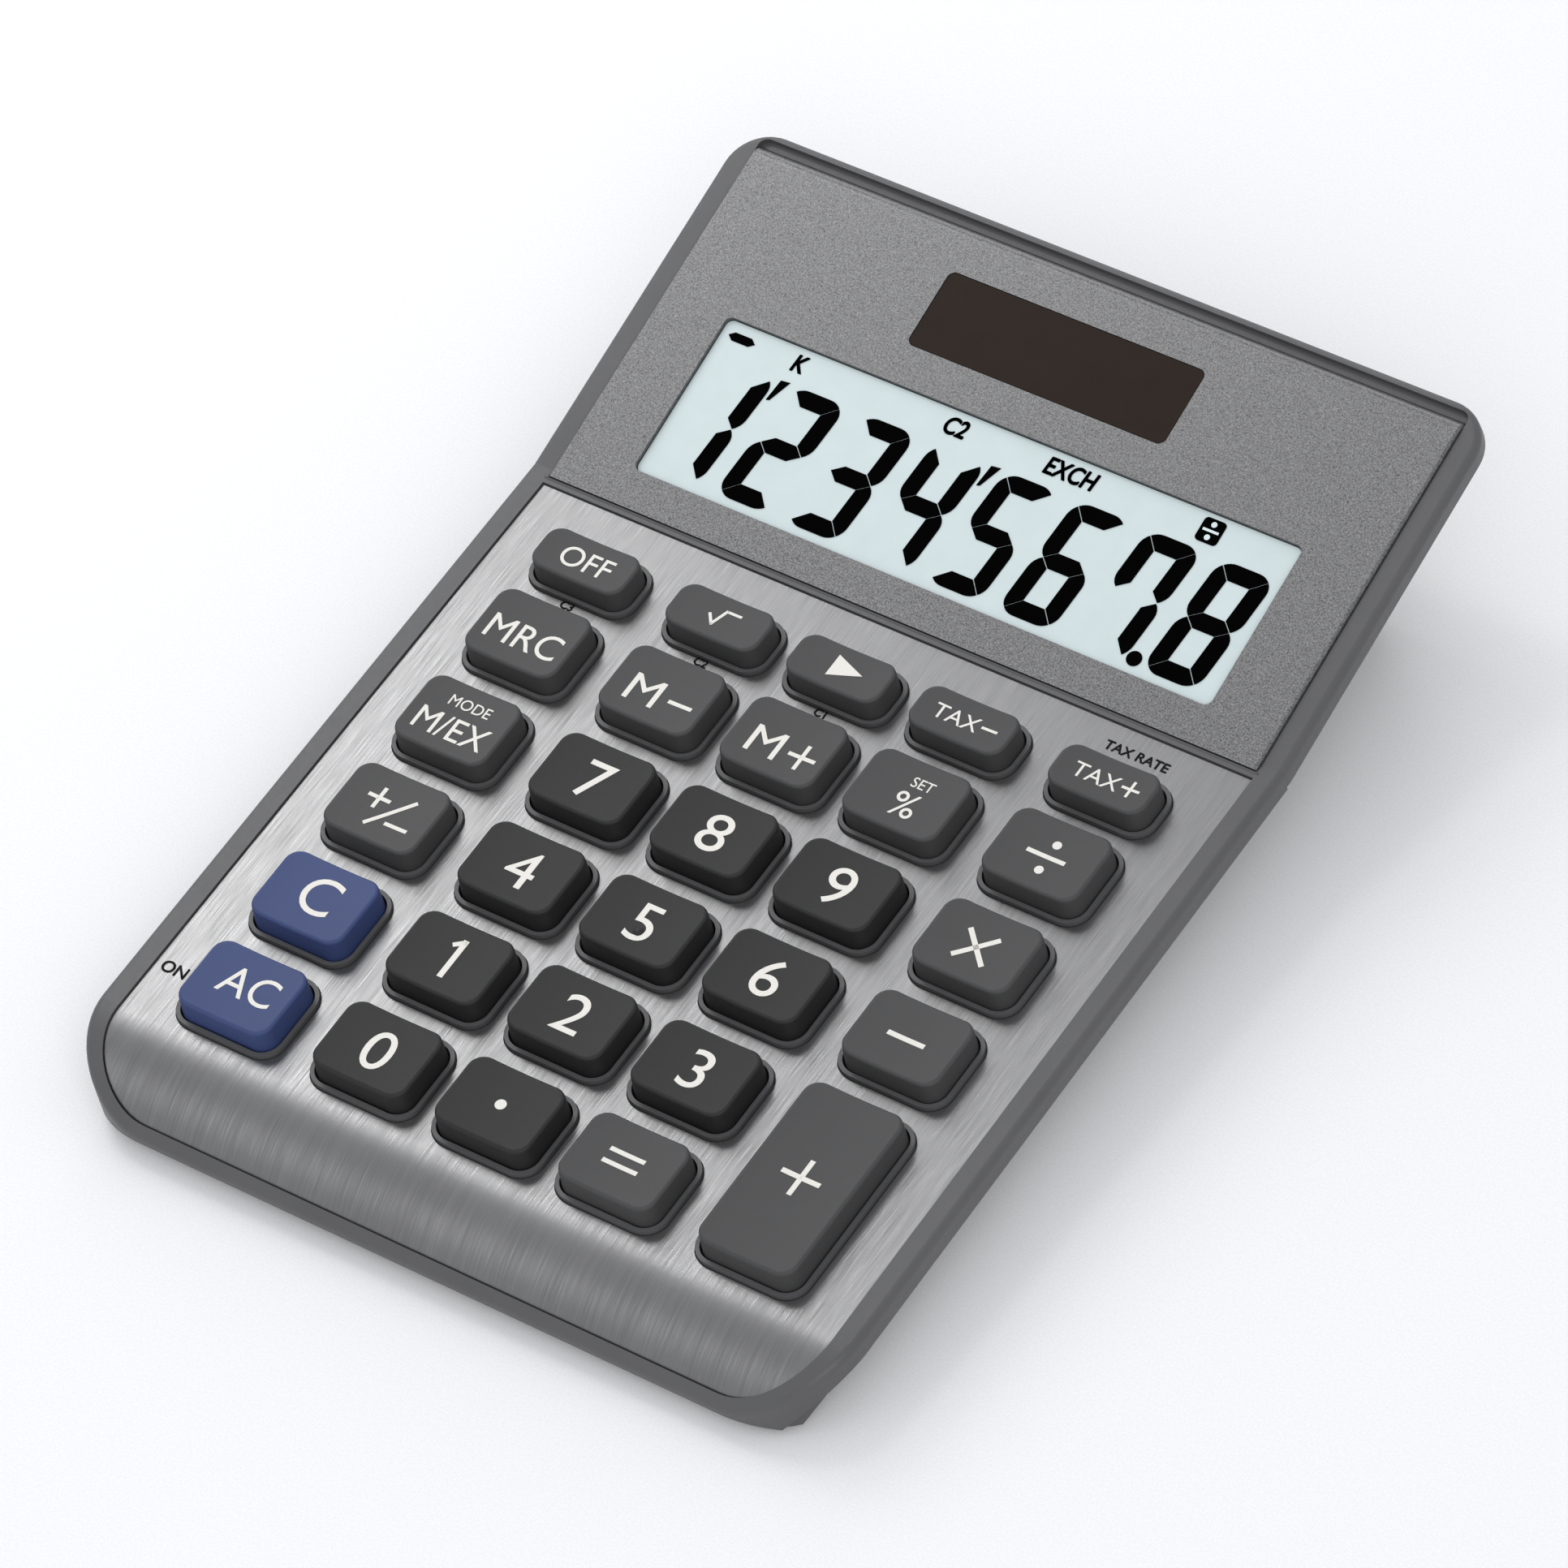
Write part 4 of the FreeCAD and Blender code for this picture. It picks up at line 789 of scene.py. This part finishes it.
@dataclass
class FacePlate:
    """The brushed sheet and the black prints on it."""

    weight: float = 0.045
    prints: tuple[tuple[str, float, float, float, float], ...] = (
        ("C3", 1.1, -35.65, -13.7, 1.0),
        ("C2", 1.1, -16.95, -13.7, 1.0),
        ("C1", 1.1, -0.35, -13.7, 1.0),
        ("TAX RATE", 1.3, 35.2, -2.85, 1.02),
        ("ON", 1.6, -45.95, -76.9, 1.02),
    )

    def dress(self) -> None:
        """Finishes the sheet and lays the prints."""
        coat("face_plate", PLATE.build())
        parts = []
        for words, height, across, along, squeeze in self.prints:
            text = lettering(words, height, self.weight, squeeze)
            parts.append(moved(text, across, along - height / 2))
        mesh = merged(parts)
        mesh.transform(KEYBOARD.matrix())
        finished("face_plate_print", mesh, BLACK_INK.build(), "base")
        LOG.info("face plate finished and printed")


# ---- display


SEGMENTS = {
    "0": "abcdef",
    "1": "bc",
    "2": "abged",
    "3": "abgcd",
    "4": "fgbc",
    "5": "afgcd",
    "6": "afgecd",
    "7": "fabc",
    "8": "abcdefg",
    "9": "abcdfg",
}


def inset(outline: list[Point], amount: float) -> list[Point]:
    """Moves every side of an anticlockwise outline inwards.

    Args:
        outline: the corners.
        amount: how far.

    Returns:
        The smaller outline.
    """
    result = []
    count = len(outline)
    for index in range(count):
        before = Vector(outline[index - 1])
        here = Vector(outline[index])
        after = Vector(outline[(index + 1) % count])
        first = (here - before).normalized()
        second = (after - here).normalized()
        normal = Vector((-first.y - second.y, first.x + second.x))
        if normal.length < 1e-6:
            normal = Vector((-first.y, first.x))
        normal.normalize()
        share = max(0.5, normal.dot(Vector((-first.y, first.x))))
        spot = here + normal * (amount / share)
        result.append((spot.x, spot.y))
    return result


@dataclass
class Figures:
    """A row of leaning seven-segment figures on the screen."""

    text: str = "12345678"
    width: float = 7.4
    height: float = 15.85
    stroke: float = 2.25
    corner: float = 2.2
    split: float = 0.05
    waist: float = 0.9
    pitch: float = 9.74
    first_right: float = -32.05
    foot: float = 6.4
    lean: float = 5.9
    marked: tuple[int, ...] = (0, 3)
    mark: tuple[Point, ...] = ((0.38, 12.9), (0.78, 13.0), (1.68, 15.9), (0.48, 15.75))
    pointed: int = 6
    point_gap: float = 1.08
    point_rise: float = 0.85
    point_radius: float = 0.95

    def corner_arc(self, across: float, along: float, begin: float, finish: float) -> list[Point]:
        """Points on a rounded outer corner about a centre."""
        return arc((across, along), self.corner, begin, finish)

    def outlines(self) -> dict[str, list[Point]]:
        """Anticlockwise outlines of the segments a to g in one upright figure.

        The outer corners are rounded, at the ends and also towards the waist, where the
        upper and lower halves meet in a point.
        """
        wide, tall, thick, corner = self.width, self.height, self.stroke, self.corner
        half = tall / 2
        tip = thick / 2
        pinch = math.degrees(math.acos((corner - self.waist) / corner))
        sink = corner * math.sin(math.radians(pinch))
        right, left = wide - corner, corner
        top, low = tall - corner, corner
        inner_right, inner_left = wide - thick, thick
        shapes = {
            "a": self.corner_arc(right, top, 45, 90)
            + self.corner_arc(left, top, 90, 135)
            + [(inner_left, tall - thick), (inner_right, tall - thick)],
            "b": self.corner_arc(right, top, 0, 45)
            + [(inner_right, tall - thick), (inner_right, half + tip)]
            + self.corner_arc(right, half + sink, -pinch, 0),
            "c": self.corner_arc(right, half - sink, 0, pinch)
            + [(inner_right, half - tip), (inner_right, thick)]
            + self.corner_arc(right, low, -45, 0),
            "d": self.corner_arc(left, low, 225, 270)
            + self.corner_arc(right, low, 270, 315)
            + [(inner_right, thick), (inner_left, thick)],
            "e": self.corner_arc(left, low, 180, 225)
            + [(inner_left, thick), (inner_left, half - tip)]
            + self.corner_arc(left, half - sink, 180 - pinch, 180),
            "f": self.corner_arc(left, top, 135, 180)
            + self.corner_arc(left, half + sink, 180, 180 + pinch)
            + [(inner_left, half + tip), (inner_left, tall - thick)],
            "g": [
                (self.waist, half),
                (inner_left, half - tip),
                (inner_right, half - tip),
                (wide - self.waist, half),
                (inner_right, half + tip),
                (inner_left, half + tip),
            ],
        }
        return {name: inset(outline, self.split) for name, outline in shapes.items()}

    def leaning(self, outline: list[Point], across: float) -> list[Point]:
        """Slants an outline and sets its place on the screen."""
        slope = math.tan(math.radians(self.lean))
        return [(x + y * slope + across, y + self.foot) for x, y in outline]

    def all_outlines(self) -> list[list[Point]]:
        """Every lit segment, both digit marks and the point."""
        shapes = self.outlines()
        lit = []
        for index, figure in enumerate(self.text):
            left = self.first_right + self.pitch * index - self.width
            for name in SEGMENTS[figure]:
                lit.append(self.leaning(shapes[name], left))
        for index in self.marked:
            right = self.first_right + self.pitch * index
            lit.append(self.leaning(list(self.mark), right))
        spot = self.first_right + self.pitch * self.pointed + self.point_gap
        lit.append(disc((spot, self.foot + self.point_rise), self.point_radius))
        return lit


@dataclass
class DisplayUnit:
    """Bezel, screen, its figures and small signs, and the solar cell."""

    figures: Figures = field(default_factory=Figures)
    film_level: float = -0.55
    shift: Point = (0.7, -0.42)
    sign_row: float = 23.8
    sign_height: float = 2.3
    sign_weight: float = 0.07
    sign_squeeze: float = 0.82
    words: tuple[tuple[str, float], ...] = (("K", -29.1), ("C2", -7.3), ("EXCH", 8.45))

    def signs(self) -> list[bpy.types.Mesh]:
        """The small status signs over the figures."""
        parts = []
        for words, across in self.words:
            text = lettering(words, self.sign_height, self.sign_weight, self.sign_squeeze, self.figures.lean)
            parts.append(moved(text, across, self.sign_row))
        dash = [(-39.1, 25.0), (-38.4, 24.45), (-36.1, 24.45), (-35.4, 25.0), (-36.1, 25.55), (-38.4, 25.55)]
        parts.append(slab([dash], -PRINT_DEPTH, PRINT_DEPTH))
        return parts

    def boxed_sign(self) -> tuple[bpy.types.Mesh, Point]:
        """The rounded box behind the divide sign, and its middle."""
        low, high, left, right, corner = 23.2, 26.3, 26.0, 28.9, 0.5
        outline = arc((right - corner, low + corner), corner, 270, 360)
        outline += arc((right - corner, high - corner), corner, 0, 90)
        outline += arc((left + corner, high - corner), corner, 90, 180)
        outline += arc((left + corner, low + corner), corner, 180, 270)
        return slab([outline], -PRINT_DEPTH, PRINT_DEPTH), ((left + right) / 2, (low + high) / 2)

    def dress(self) -> None:
        """Finishes the display and draws what it shows."""
        coat("display_bezel", BEZEL.build())
        coat("screen_film", SCREEN.build())
        coat("solar_cell", SOLAR.build())
        frame = DISPLAY.matrix()
        level = self.film_level
        parts = [slab([outline], -PRINT_DEPTH, PRINT_DEPTH) for outline in self.figures.all_outlines()]
        box, (across, along) = self.boxed_sign()
        parts += [*self.signs(), box]
        mesh = moved(merged(parts), *self.shift, level)
        mesh.transform(frame)
        finished("screen_figures", mesh, SCREEN_INK.build(), "base")
        marks = [bar((across - 1.05, along), (across + 1.05, along), 0.32)]
        marks += [disc((across, along + 0.85), 0.36, 20), disc((across, along - 0.85), 0.36, 20)]
        mesh = moved(slab(marks, 0.0, PRINT_DEPTH * 1.6), *self.shift, level)
        mesh.transform(frame)
        finished("screen_sign_marks", mesh, bpy.data.materials["screen_film"], "base")
        LOG.info("display finished")


# ---- repeated pieces


class Recipe:
    """A Geometry Nodes tree with named inputs, run once and turned into a plain mesh."""

    def __init__(self, name: str, inputs: dict[str, float | int]) -> None:
        """Starts the tree.

        Args:
            name: the tree's name.
            inputs: each input's name and value, whole numbers as integer inputs.
        """
        self.tree = bpy.data.node_groups.new(name, "GeometryNodeTree")
        self.values = inputs
        face = self.tree.interface
        face.new_socket("Geometry", in_out="INPUT", socket_type="NodeSocketGeometry")
        for title, value in inputs.items():
            kind = "NodeSocketInt" if isinstance(value, int) else "NodeSocketFloat"
            face.new_socket(title, in_out="INPUT", socket_type=kind)
        face.new_socket("Material", in_out="INPUT", socket_type="NodeSocketMaterial")
        face.new_socket("Geometry", in_out="OUTPUT", socket_type="NodeSocketGeometry")
        self.given = self.node("NodeGroupInput")
        self.result = self.node("NodeGroupOutput")

    def node(self, kind: str, **settings: str) -> bpy.types.Node:
        """Adds a node and sets its own options."""
        made = self.tree.nodes.new(kind)
        for name, value in settings.items():
            setattr(made, name, value)
        return made

    def join(self, source: bpy.types.NodeSocket, target: bpy.types.NodeSocket) -> None:
        """Links an output to an input."""
        self.tree.links.new(source, target)

    def maths(self, operation: str, *terms: bpy.types.NodeSocket | float) -> bpy.types.NodeSocket:
        """A Math node fed by sockets and numbers."""
        made = self.node("ShaderNodeMath", operation=operation)
        for index, term in enumerate(terms):
            if isinstance(term, (int, float)):
                made.inputs[index].default_value = term
            else:
                self.join(term, made.inputs[index])
        return made.outputs[0]

    def fed(self, kind: str, result: str, **sources: bpy.types.NodeSocket) -> bpy.types.NodeSocket:
        """Adds a node, joins sockets to its inputs and gives one output.

        Args:
            kind: the node's type.
            result: the output's name.
            sources: a socket for each input's name.

        Returns:
            The output socket.
        """
        made = self.node(kind)
        for name, source in sources.items():
            self.join(source, made.inputs[name])
        return made.outputs[result]

    def placed(self, points: bpy.types.NodeSocket, piece: bpy.types.NodeSocket) -> bpy.types.NodeSocket:
        """Puts a piece on every point."""
        return self.fed("GeometryNodeInstanceOnPoints", "Instances", Points=points, Instance=piece)

    def close(self, geometry: bpy.types.NodeSocket) -> None:
        """Realizes the instances, sets the material and ends the tree."""
        real = self.node("GeometryNodeRealizeInstances")
        paint = self.node("GeometryNodeSetMaterial")
        self.join(geometry, real.inputs["Geometry"])
        self.join(real.outputs["Geometry"], paint.inputs["Geometry"])
        self.join(self.given.outputs["Material"], paint.inputs["Material"])
        self.join(paint.outputs["Geometry"], self.result.inputs["Geometry"])

    def run(self, points: list[tuple[float, float, float]], material: bpy.types.Material) -> bpy.types.Mesh:
        """Runs the tree on a set of points.

        Args:
            points: where the pieces go.
            material: the finish the tree sets.

        Returns:
            A plain mesh with its faces outwards.
        """
        seeds = bpy.data.meshes.new("seeds")
        seeds.from_pydata(points, [], [])
        carrier = bpy.data.objects.new("seeds", seeds)
        bpy.context.collection.objects.link(carrier)
        modifier = carrier.modifiers.new("recipe", "NODES")
        modifier.node_group = self.tree
        for item in self.tree.interface.items_tree:
            if item.in_out == "INPUT" and item.name in self.values:
                modifier[item.identifier] = self.values[item.name]
            if item.in_out == "INPUT" and item.name == "Material":
                modifier[item.identifier] = material
        carrier.update_tag()
        bpy.context.view_layer.update()
        evaluated = carrier.evaluated_get(bpy.context.evaluated_depsgraph_get())
        mesh = bpy.data.meshes.new_from_object(evaluated)
        carrier.modifiers.clear()
        bpy.data.objects.remove(carrier)
        bpy.data.meshes.remove(seeds)
        shape = bmesh.new()
        shape.from_mesh(mesh)
        bmesh.ops.recalc_face_normals(shape, faces=shape.faces)
        shape.to_mesh(mesh)
        shape.free()
        return mesh


@dataclass
class Feet:
    """Four rubber feet, each a disc with rings moulded under it."""

    places: tuple[Point, ...] = ((-38.0, -52.0), (38.0, -52.0), (-30.0, 50.0), (30.0, 50.0))
    radius: float = 4.0
    top: float = 1.27
    recess: float = 0.3
    ring: float = 0.45
    rings: int = 3
    overlap: float = 0.1
    steps: int = 64

    def recipe(self) -> Recipe:
        """A disc with evenly spaced rings below it, put on every point."""
        inputs = {"Radius": self.radius, "Top": self.top, "Recess": self.recess, "Ring Width": self.ring}
        recipe = Recipe("ringed_feet", inputs)
        given = recipe.given.outputs
        vector, move = "ShaderNodeCombineXYZ", "GeometryNodeTransform"
        plate = recipe.node("GeometryNodeMeshCylinder")
        plate.inputs["Vertices"].default_value = self.steps
        recipe.join(given["Radius"], plate.inputs["Radius"])
        depth = recipe.maths("SUBTRACT", given["Top"], given["Recess"])
        recipe.join(depth, plate.inputs["Depth"])
        lift = recipe.fed(vector, "Vector", Z=recipe.maths("MULTIPLY_ADD", depth, 0.5, given["Recess"]))
        gather = recipe.node("GeometryNodeJoinGeometry")
        raised = recipe.fed(move, "Geometry", Geometry=plate.outputs["Mesh"], Translation=lift)
        recipe.join(raised, gather.inputs["Geometry"])
        height = recipe.maths("ADD", given["Recess"], self.overlap)
        rise = recipe.fed(vector, "Vector", Z=recipe.maths("MULTIPLY", height, 0.5))
        edge = recipe.maths("MULTIPLY_ADD", given["Ring Width"], -0.5, given["Radius"])
        for index in range(self.rings):
            circle = recipe.node("GeometryNodeCurvePrimitiveCircle")
            circle.inputs["Resolution"].default_value = self.steps
            recipe.join(recipe.maths("MULTIPLY", edge, 1.0 - index / self.rings), circle.inputs["Radius"])
            section = recipe.fed(
                "GeometryNodeCurvePrimitiveQuadrilateral", "Curve", Width=given["Ring Width"], Height=height
            )
            sweep = recipe.node("GeometryNodeCurveToMesh")
            recipe.join(circle.outputs["Curve"], sweep.inputs["Curve"])
            recipe.join(section, sweep.inputs["Profile Curve"])
            ring = recipe.fed(move, "Geometry", Geometry=sweep.outputs["Mesh"], Translation=rise)
            recipe.join(ring, gather.inputs["Geometry"])
        recipe.close(recipe.placed(given["Geometry"], gather.outputs["Geometry"]))
        return recipe

    def build(self) -> None:
        """Makes the feet and shows them in place of the plain ones."""
        rubber = RUBBER.build()
        mesh = self.recipe().run([(x, y, 0.0) for x, y in self.places], rubber)
        mesh.transform(DESK.matrix())
        piece = finished("ringed_feet", mesh, rubber, "base")
        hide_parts("rubber_feet")
        LOG.info("feet made")


@dataclass
class HatchGrip:
    """Raised finger ribs between the grooves of the battery hatch."""

    middle: Point = (-6.0, 40.0)
    ribs: int = 5
    pitch: float = 3.0
    length: float = 9.0
    width: float = 1.0
    rise: float = 0.28
    face: float = 0.9

    def recipe(self) -> Recipe:
        """A row of half-round bars about each point."""
        inputs = {"Count": self.ribs, "Pitch": self.pitch, "Length": self.length}
        inputs |= {"Width": self.width, "Rise": self.rise}
        recipe = Recipe("hatch_ribs", inputs)
        given = recipe.given.outputs
        vector = "ShaderNodeCombineXYZ"
        row = recipe.node("GeometryNodeMeshLine", mode="OFFSET")
        span = recipe.maths("MULTIPLY", recipe.maths("SUBTRACT", given["Count"], 1.0), given["Pitch"])
        begin = recipe.fed(vector, "Vector", X=recipe.maths("MULTIPLY", span, -0.5))
        recipe.join(given["Count"], row.inputs["Count"])
        recipe.join(begin, row.inputs["Start Location"])
        recipe.join(recipe.fed(vector, "Vector", X=given["Pitch"]), row.inputs["Offset"])
        bead = recipe.node("GeometryNodeMeshUVSphere")
        bead.inputs["Segments"].default_value = 24
        bead.inputs["Rings"].default_value = 16
        bead.inputs["Radius"].default_value = 0.5
        tall = recipe.maths("MULTIPLY", given["Rise"], 2.0)
        size = recipe.fed(vector, "Vector", X=given["Width"], Y=given["Length"], Z=tall)
        rib = recipe.fed("GeometryNodeTransform", "Geometry", Geometry=bead.outputs["Mesh"], Scale=size)
        recipe.close(recipe.placed(given["Geometry"], recipe.placed(row.outputs["Mesh"], rib)))
        return recipe

    def build(self, shell: bpy.types.Material) -> None:
        """Makes the ribs in the hatch's own plastic."""
        mesh = self.recipe().run([(*self.middle, self.face)], shell)
        mesh.transform(DESK.matrix())
        for face in mesh.polygons:
            face.use_smooth = True
        piece = finished("hatch_ribs", mesh, shell, "battery_hatch")
        LOG.info("hatch ribs made")


# ---- casing


@dataclass
class Casing:
    """Both shells, the battery hatch, feet, screws and everything inside."""

    def dress(self) -> None:
        """Finishes every remaining CAD node and adds the feet and the hatch ribs."""
        shell = CASING.build()
        for node in ("upper_casing", "lower_casing", "battery_cover"):
            coat(node, shell)
        Feet().build()
        HatchGrip().build(shell)
        steel = STEEL.build()
        for node in ("casing_screws", "cover_screw", "button_cell", "contact_minus", "contact_plus"):
            coat(node, steel)
        for node, finish in (
            ("screen_holder", HOLDER),
            ("keypad_mat", SILICONE),
            ("main_board", LAMINATE),
            ("chip_resin", RESIN),
            ("supply_capacitor", RESIN),
            ("screen_ribbon", RIBBON),
            ("screen_mirror", MIRROR),
            ("screen_glass", GLASS),
        ):
            coat(node, finish.build())
        sleeve = SLEEVE.build()
        coat("solar_leads", sleeve)
        coat("battery_leads", sleeve)
        LOG.info("casing finished")


# ---- studio


@dataclass
class Studio:
    """Pale floor, soft light and the camera."""

    azimuth: float = 42.6985
    elevation: float = 47.9148
    roll: float = -11.1905
    distance: float = 1070.77
    target: tuple[float, float, float] = (-0.519, 0.835, 10.0)
    lens: float = 219.04
    sensor: float = 36.0
    near: float = 0.05
    far: float = 20.0
    surround: float = 0.75
    lamps: tuple[tuple[str, tuple[float, float, float], float, float], ...] = (
        ("side_lamp", (-0.36, 0.16, 0.34), 0.22, 0.45),
        ("camera_side_lamp", (0.75, -0.75, 0.95), 0.9, 5.0),
        ("crest_lamp", (-0.55, 0.3, 1.02), 0.2, 1.0),
        ("lip_lamp", (-0.5, -0.67, 0.72), 0.4, 0.3),
        ("rear_lamp", (-0.55, 0.95, 0.55), 0.5, 1.5),
    )

    def floor(self) -> None:
        """A plain pale floor."""
        mesh = bpy.data.meshes.new("floor")
        shape = bmesh.new()
        bmesh.ops.create_grid(shape, x_segments=1, y_segments=1, size=4.0)
        shape.to_mesh(mesh)
        shape.free()
        plane = bpy.data.objects.new("floor", mesh)
        bpy.context.collection.objects.link(plane)
        mesh.materials.append(Ink("floor_paper", (0.9, 0.9, 0.9), 0.9).build())

    def lamp(self, name: str, place: tuple[float, float, float], size: float, power: float) -> None:
        """A square soft lamp that faces the object.

        Args:
            name: the lamp's name.
            place: where it stands, in metres.
            size: its side in metres.
            power: in watts.
        """
        data = bpy.data.lights.new(name, "AREA")
        data.size = size
        data.energy = power
        lamp = bpy.data.objects.new(name, data)
        lamp.location = place
        lamp.rotation_mode = "QUATERNION"
        lamp.rotation_quaternion = (-Vector(place)).to_track_quat("-Z", "Y")
        bpy.context.collection.objects.link(lamp)

    def light(self) -> None:
        """Soft lamps all round the object and a pale surround."""
        world = bpy.data.worlds.new("surround")
        world.use_nodes = True
        shade = world.node_tree.nodes["Background"]
        shade.inputs["Color"].default_value = (0.95, 0.96, 1.0, 1.0)
        shade.inputs["Strength"].default_value = self.surround
        bpy.context.scene.world = world
        for name, place, size, power in self.lamps:
            self.lamp(name, place, size, power)

    def camera(self) -> None:
        """A long lens at the viewing angle."""
        data = bpy.data.cameras.new("camera")
        data.lens = self.lens
        data.sensor_width = self.sensor
        data.clip_start = self.near
        data.clip_end = self.far
        eye = bpy.data.objects.new("camera", data)
        bpy.context.collection.objects.link(eye)
        turn, rise, lean = (math.radians(value) for value in (self.azimuth, self.elevation, self.roll))
        back = Vector((math.sin(turn) * math.cos(rise), -math.cos(turn) * math.cos(rise), math.sin(rise)))
        level = Vector((0, 0, 1)).cross(back).normalized()
        upright = back.cross(level)
        right = level * math.cos(lean) + upright * math.sin(lean)
        top = back.cross(right)
        place = Matrix((right, top, back)).transposed().to_4x4()
        place.translation = (Vector(self.target) + back * self.distance) * MM
        eye.matrix_world = place
        bpy.context.scene.camera = eye

    def build(self) -> None:
        """Sets up the whole studio."""
        self.floor()
        self.light()
        self.camera()
        bpy.context.scene.view_settings.view_transform = "Standard"
        LOG.info("studio ready")


def main() -> None:
    """Loads the frame and builds each sub-assembly in turn."""
    logging.basicConfig(level=logging.INFO, format="%(name)s: %(message)s")
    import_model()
    Casing().dress()
    FacePlate().dress()
    Keypad().dress()
    DisplayUnit().dress()
    Studio().build()


if __name__ == "__main__":
    main()
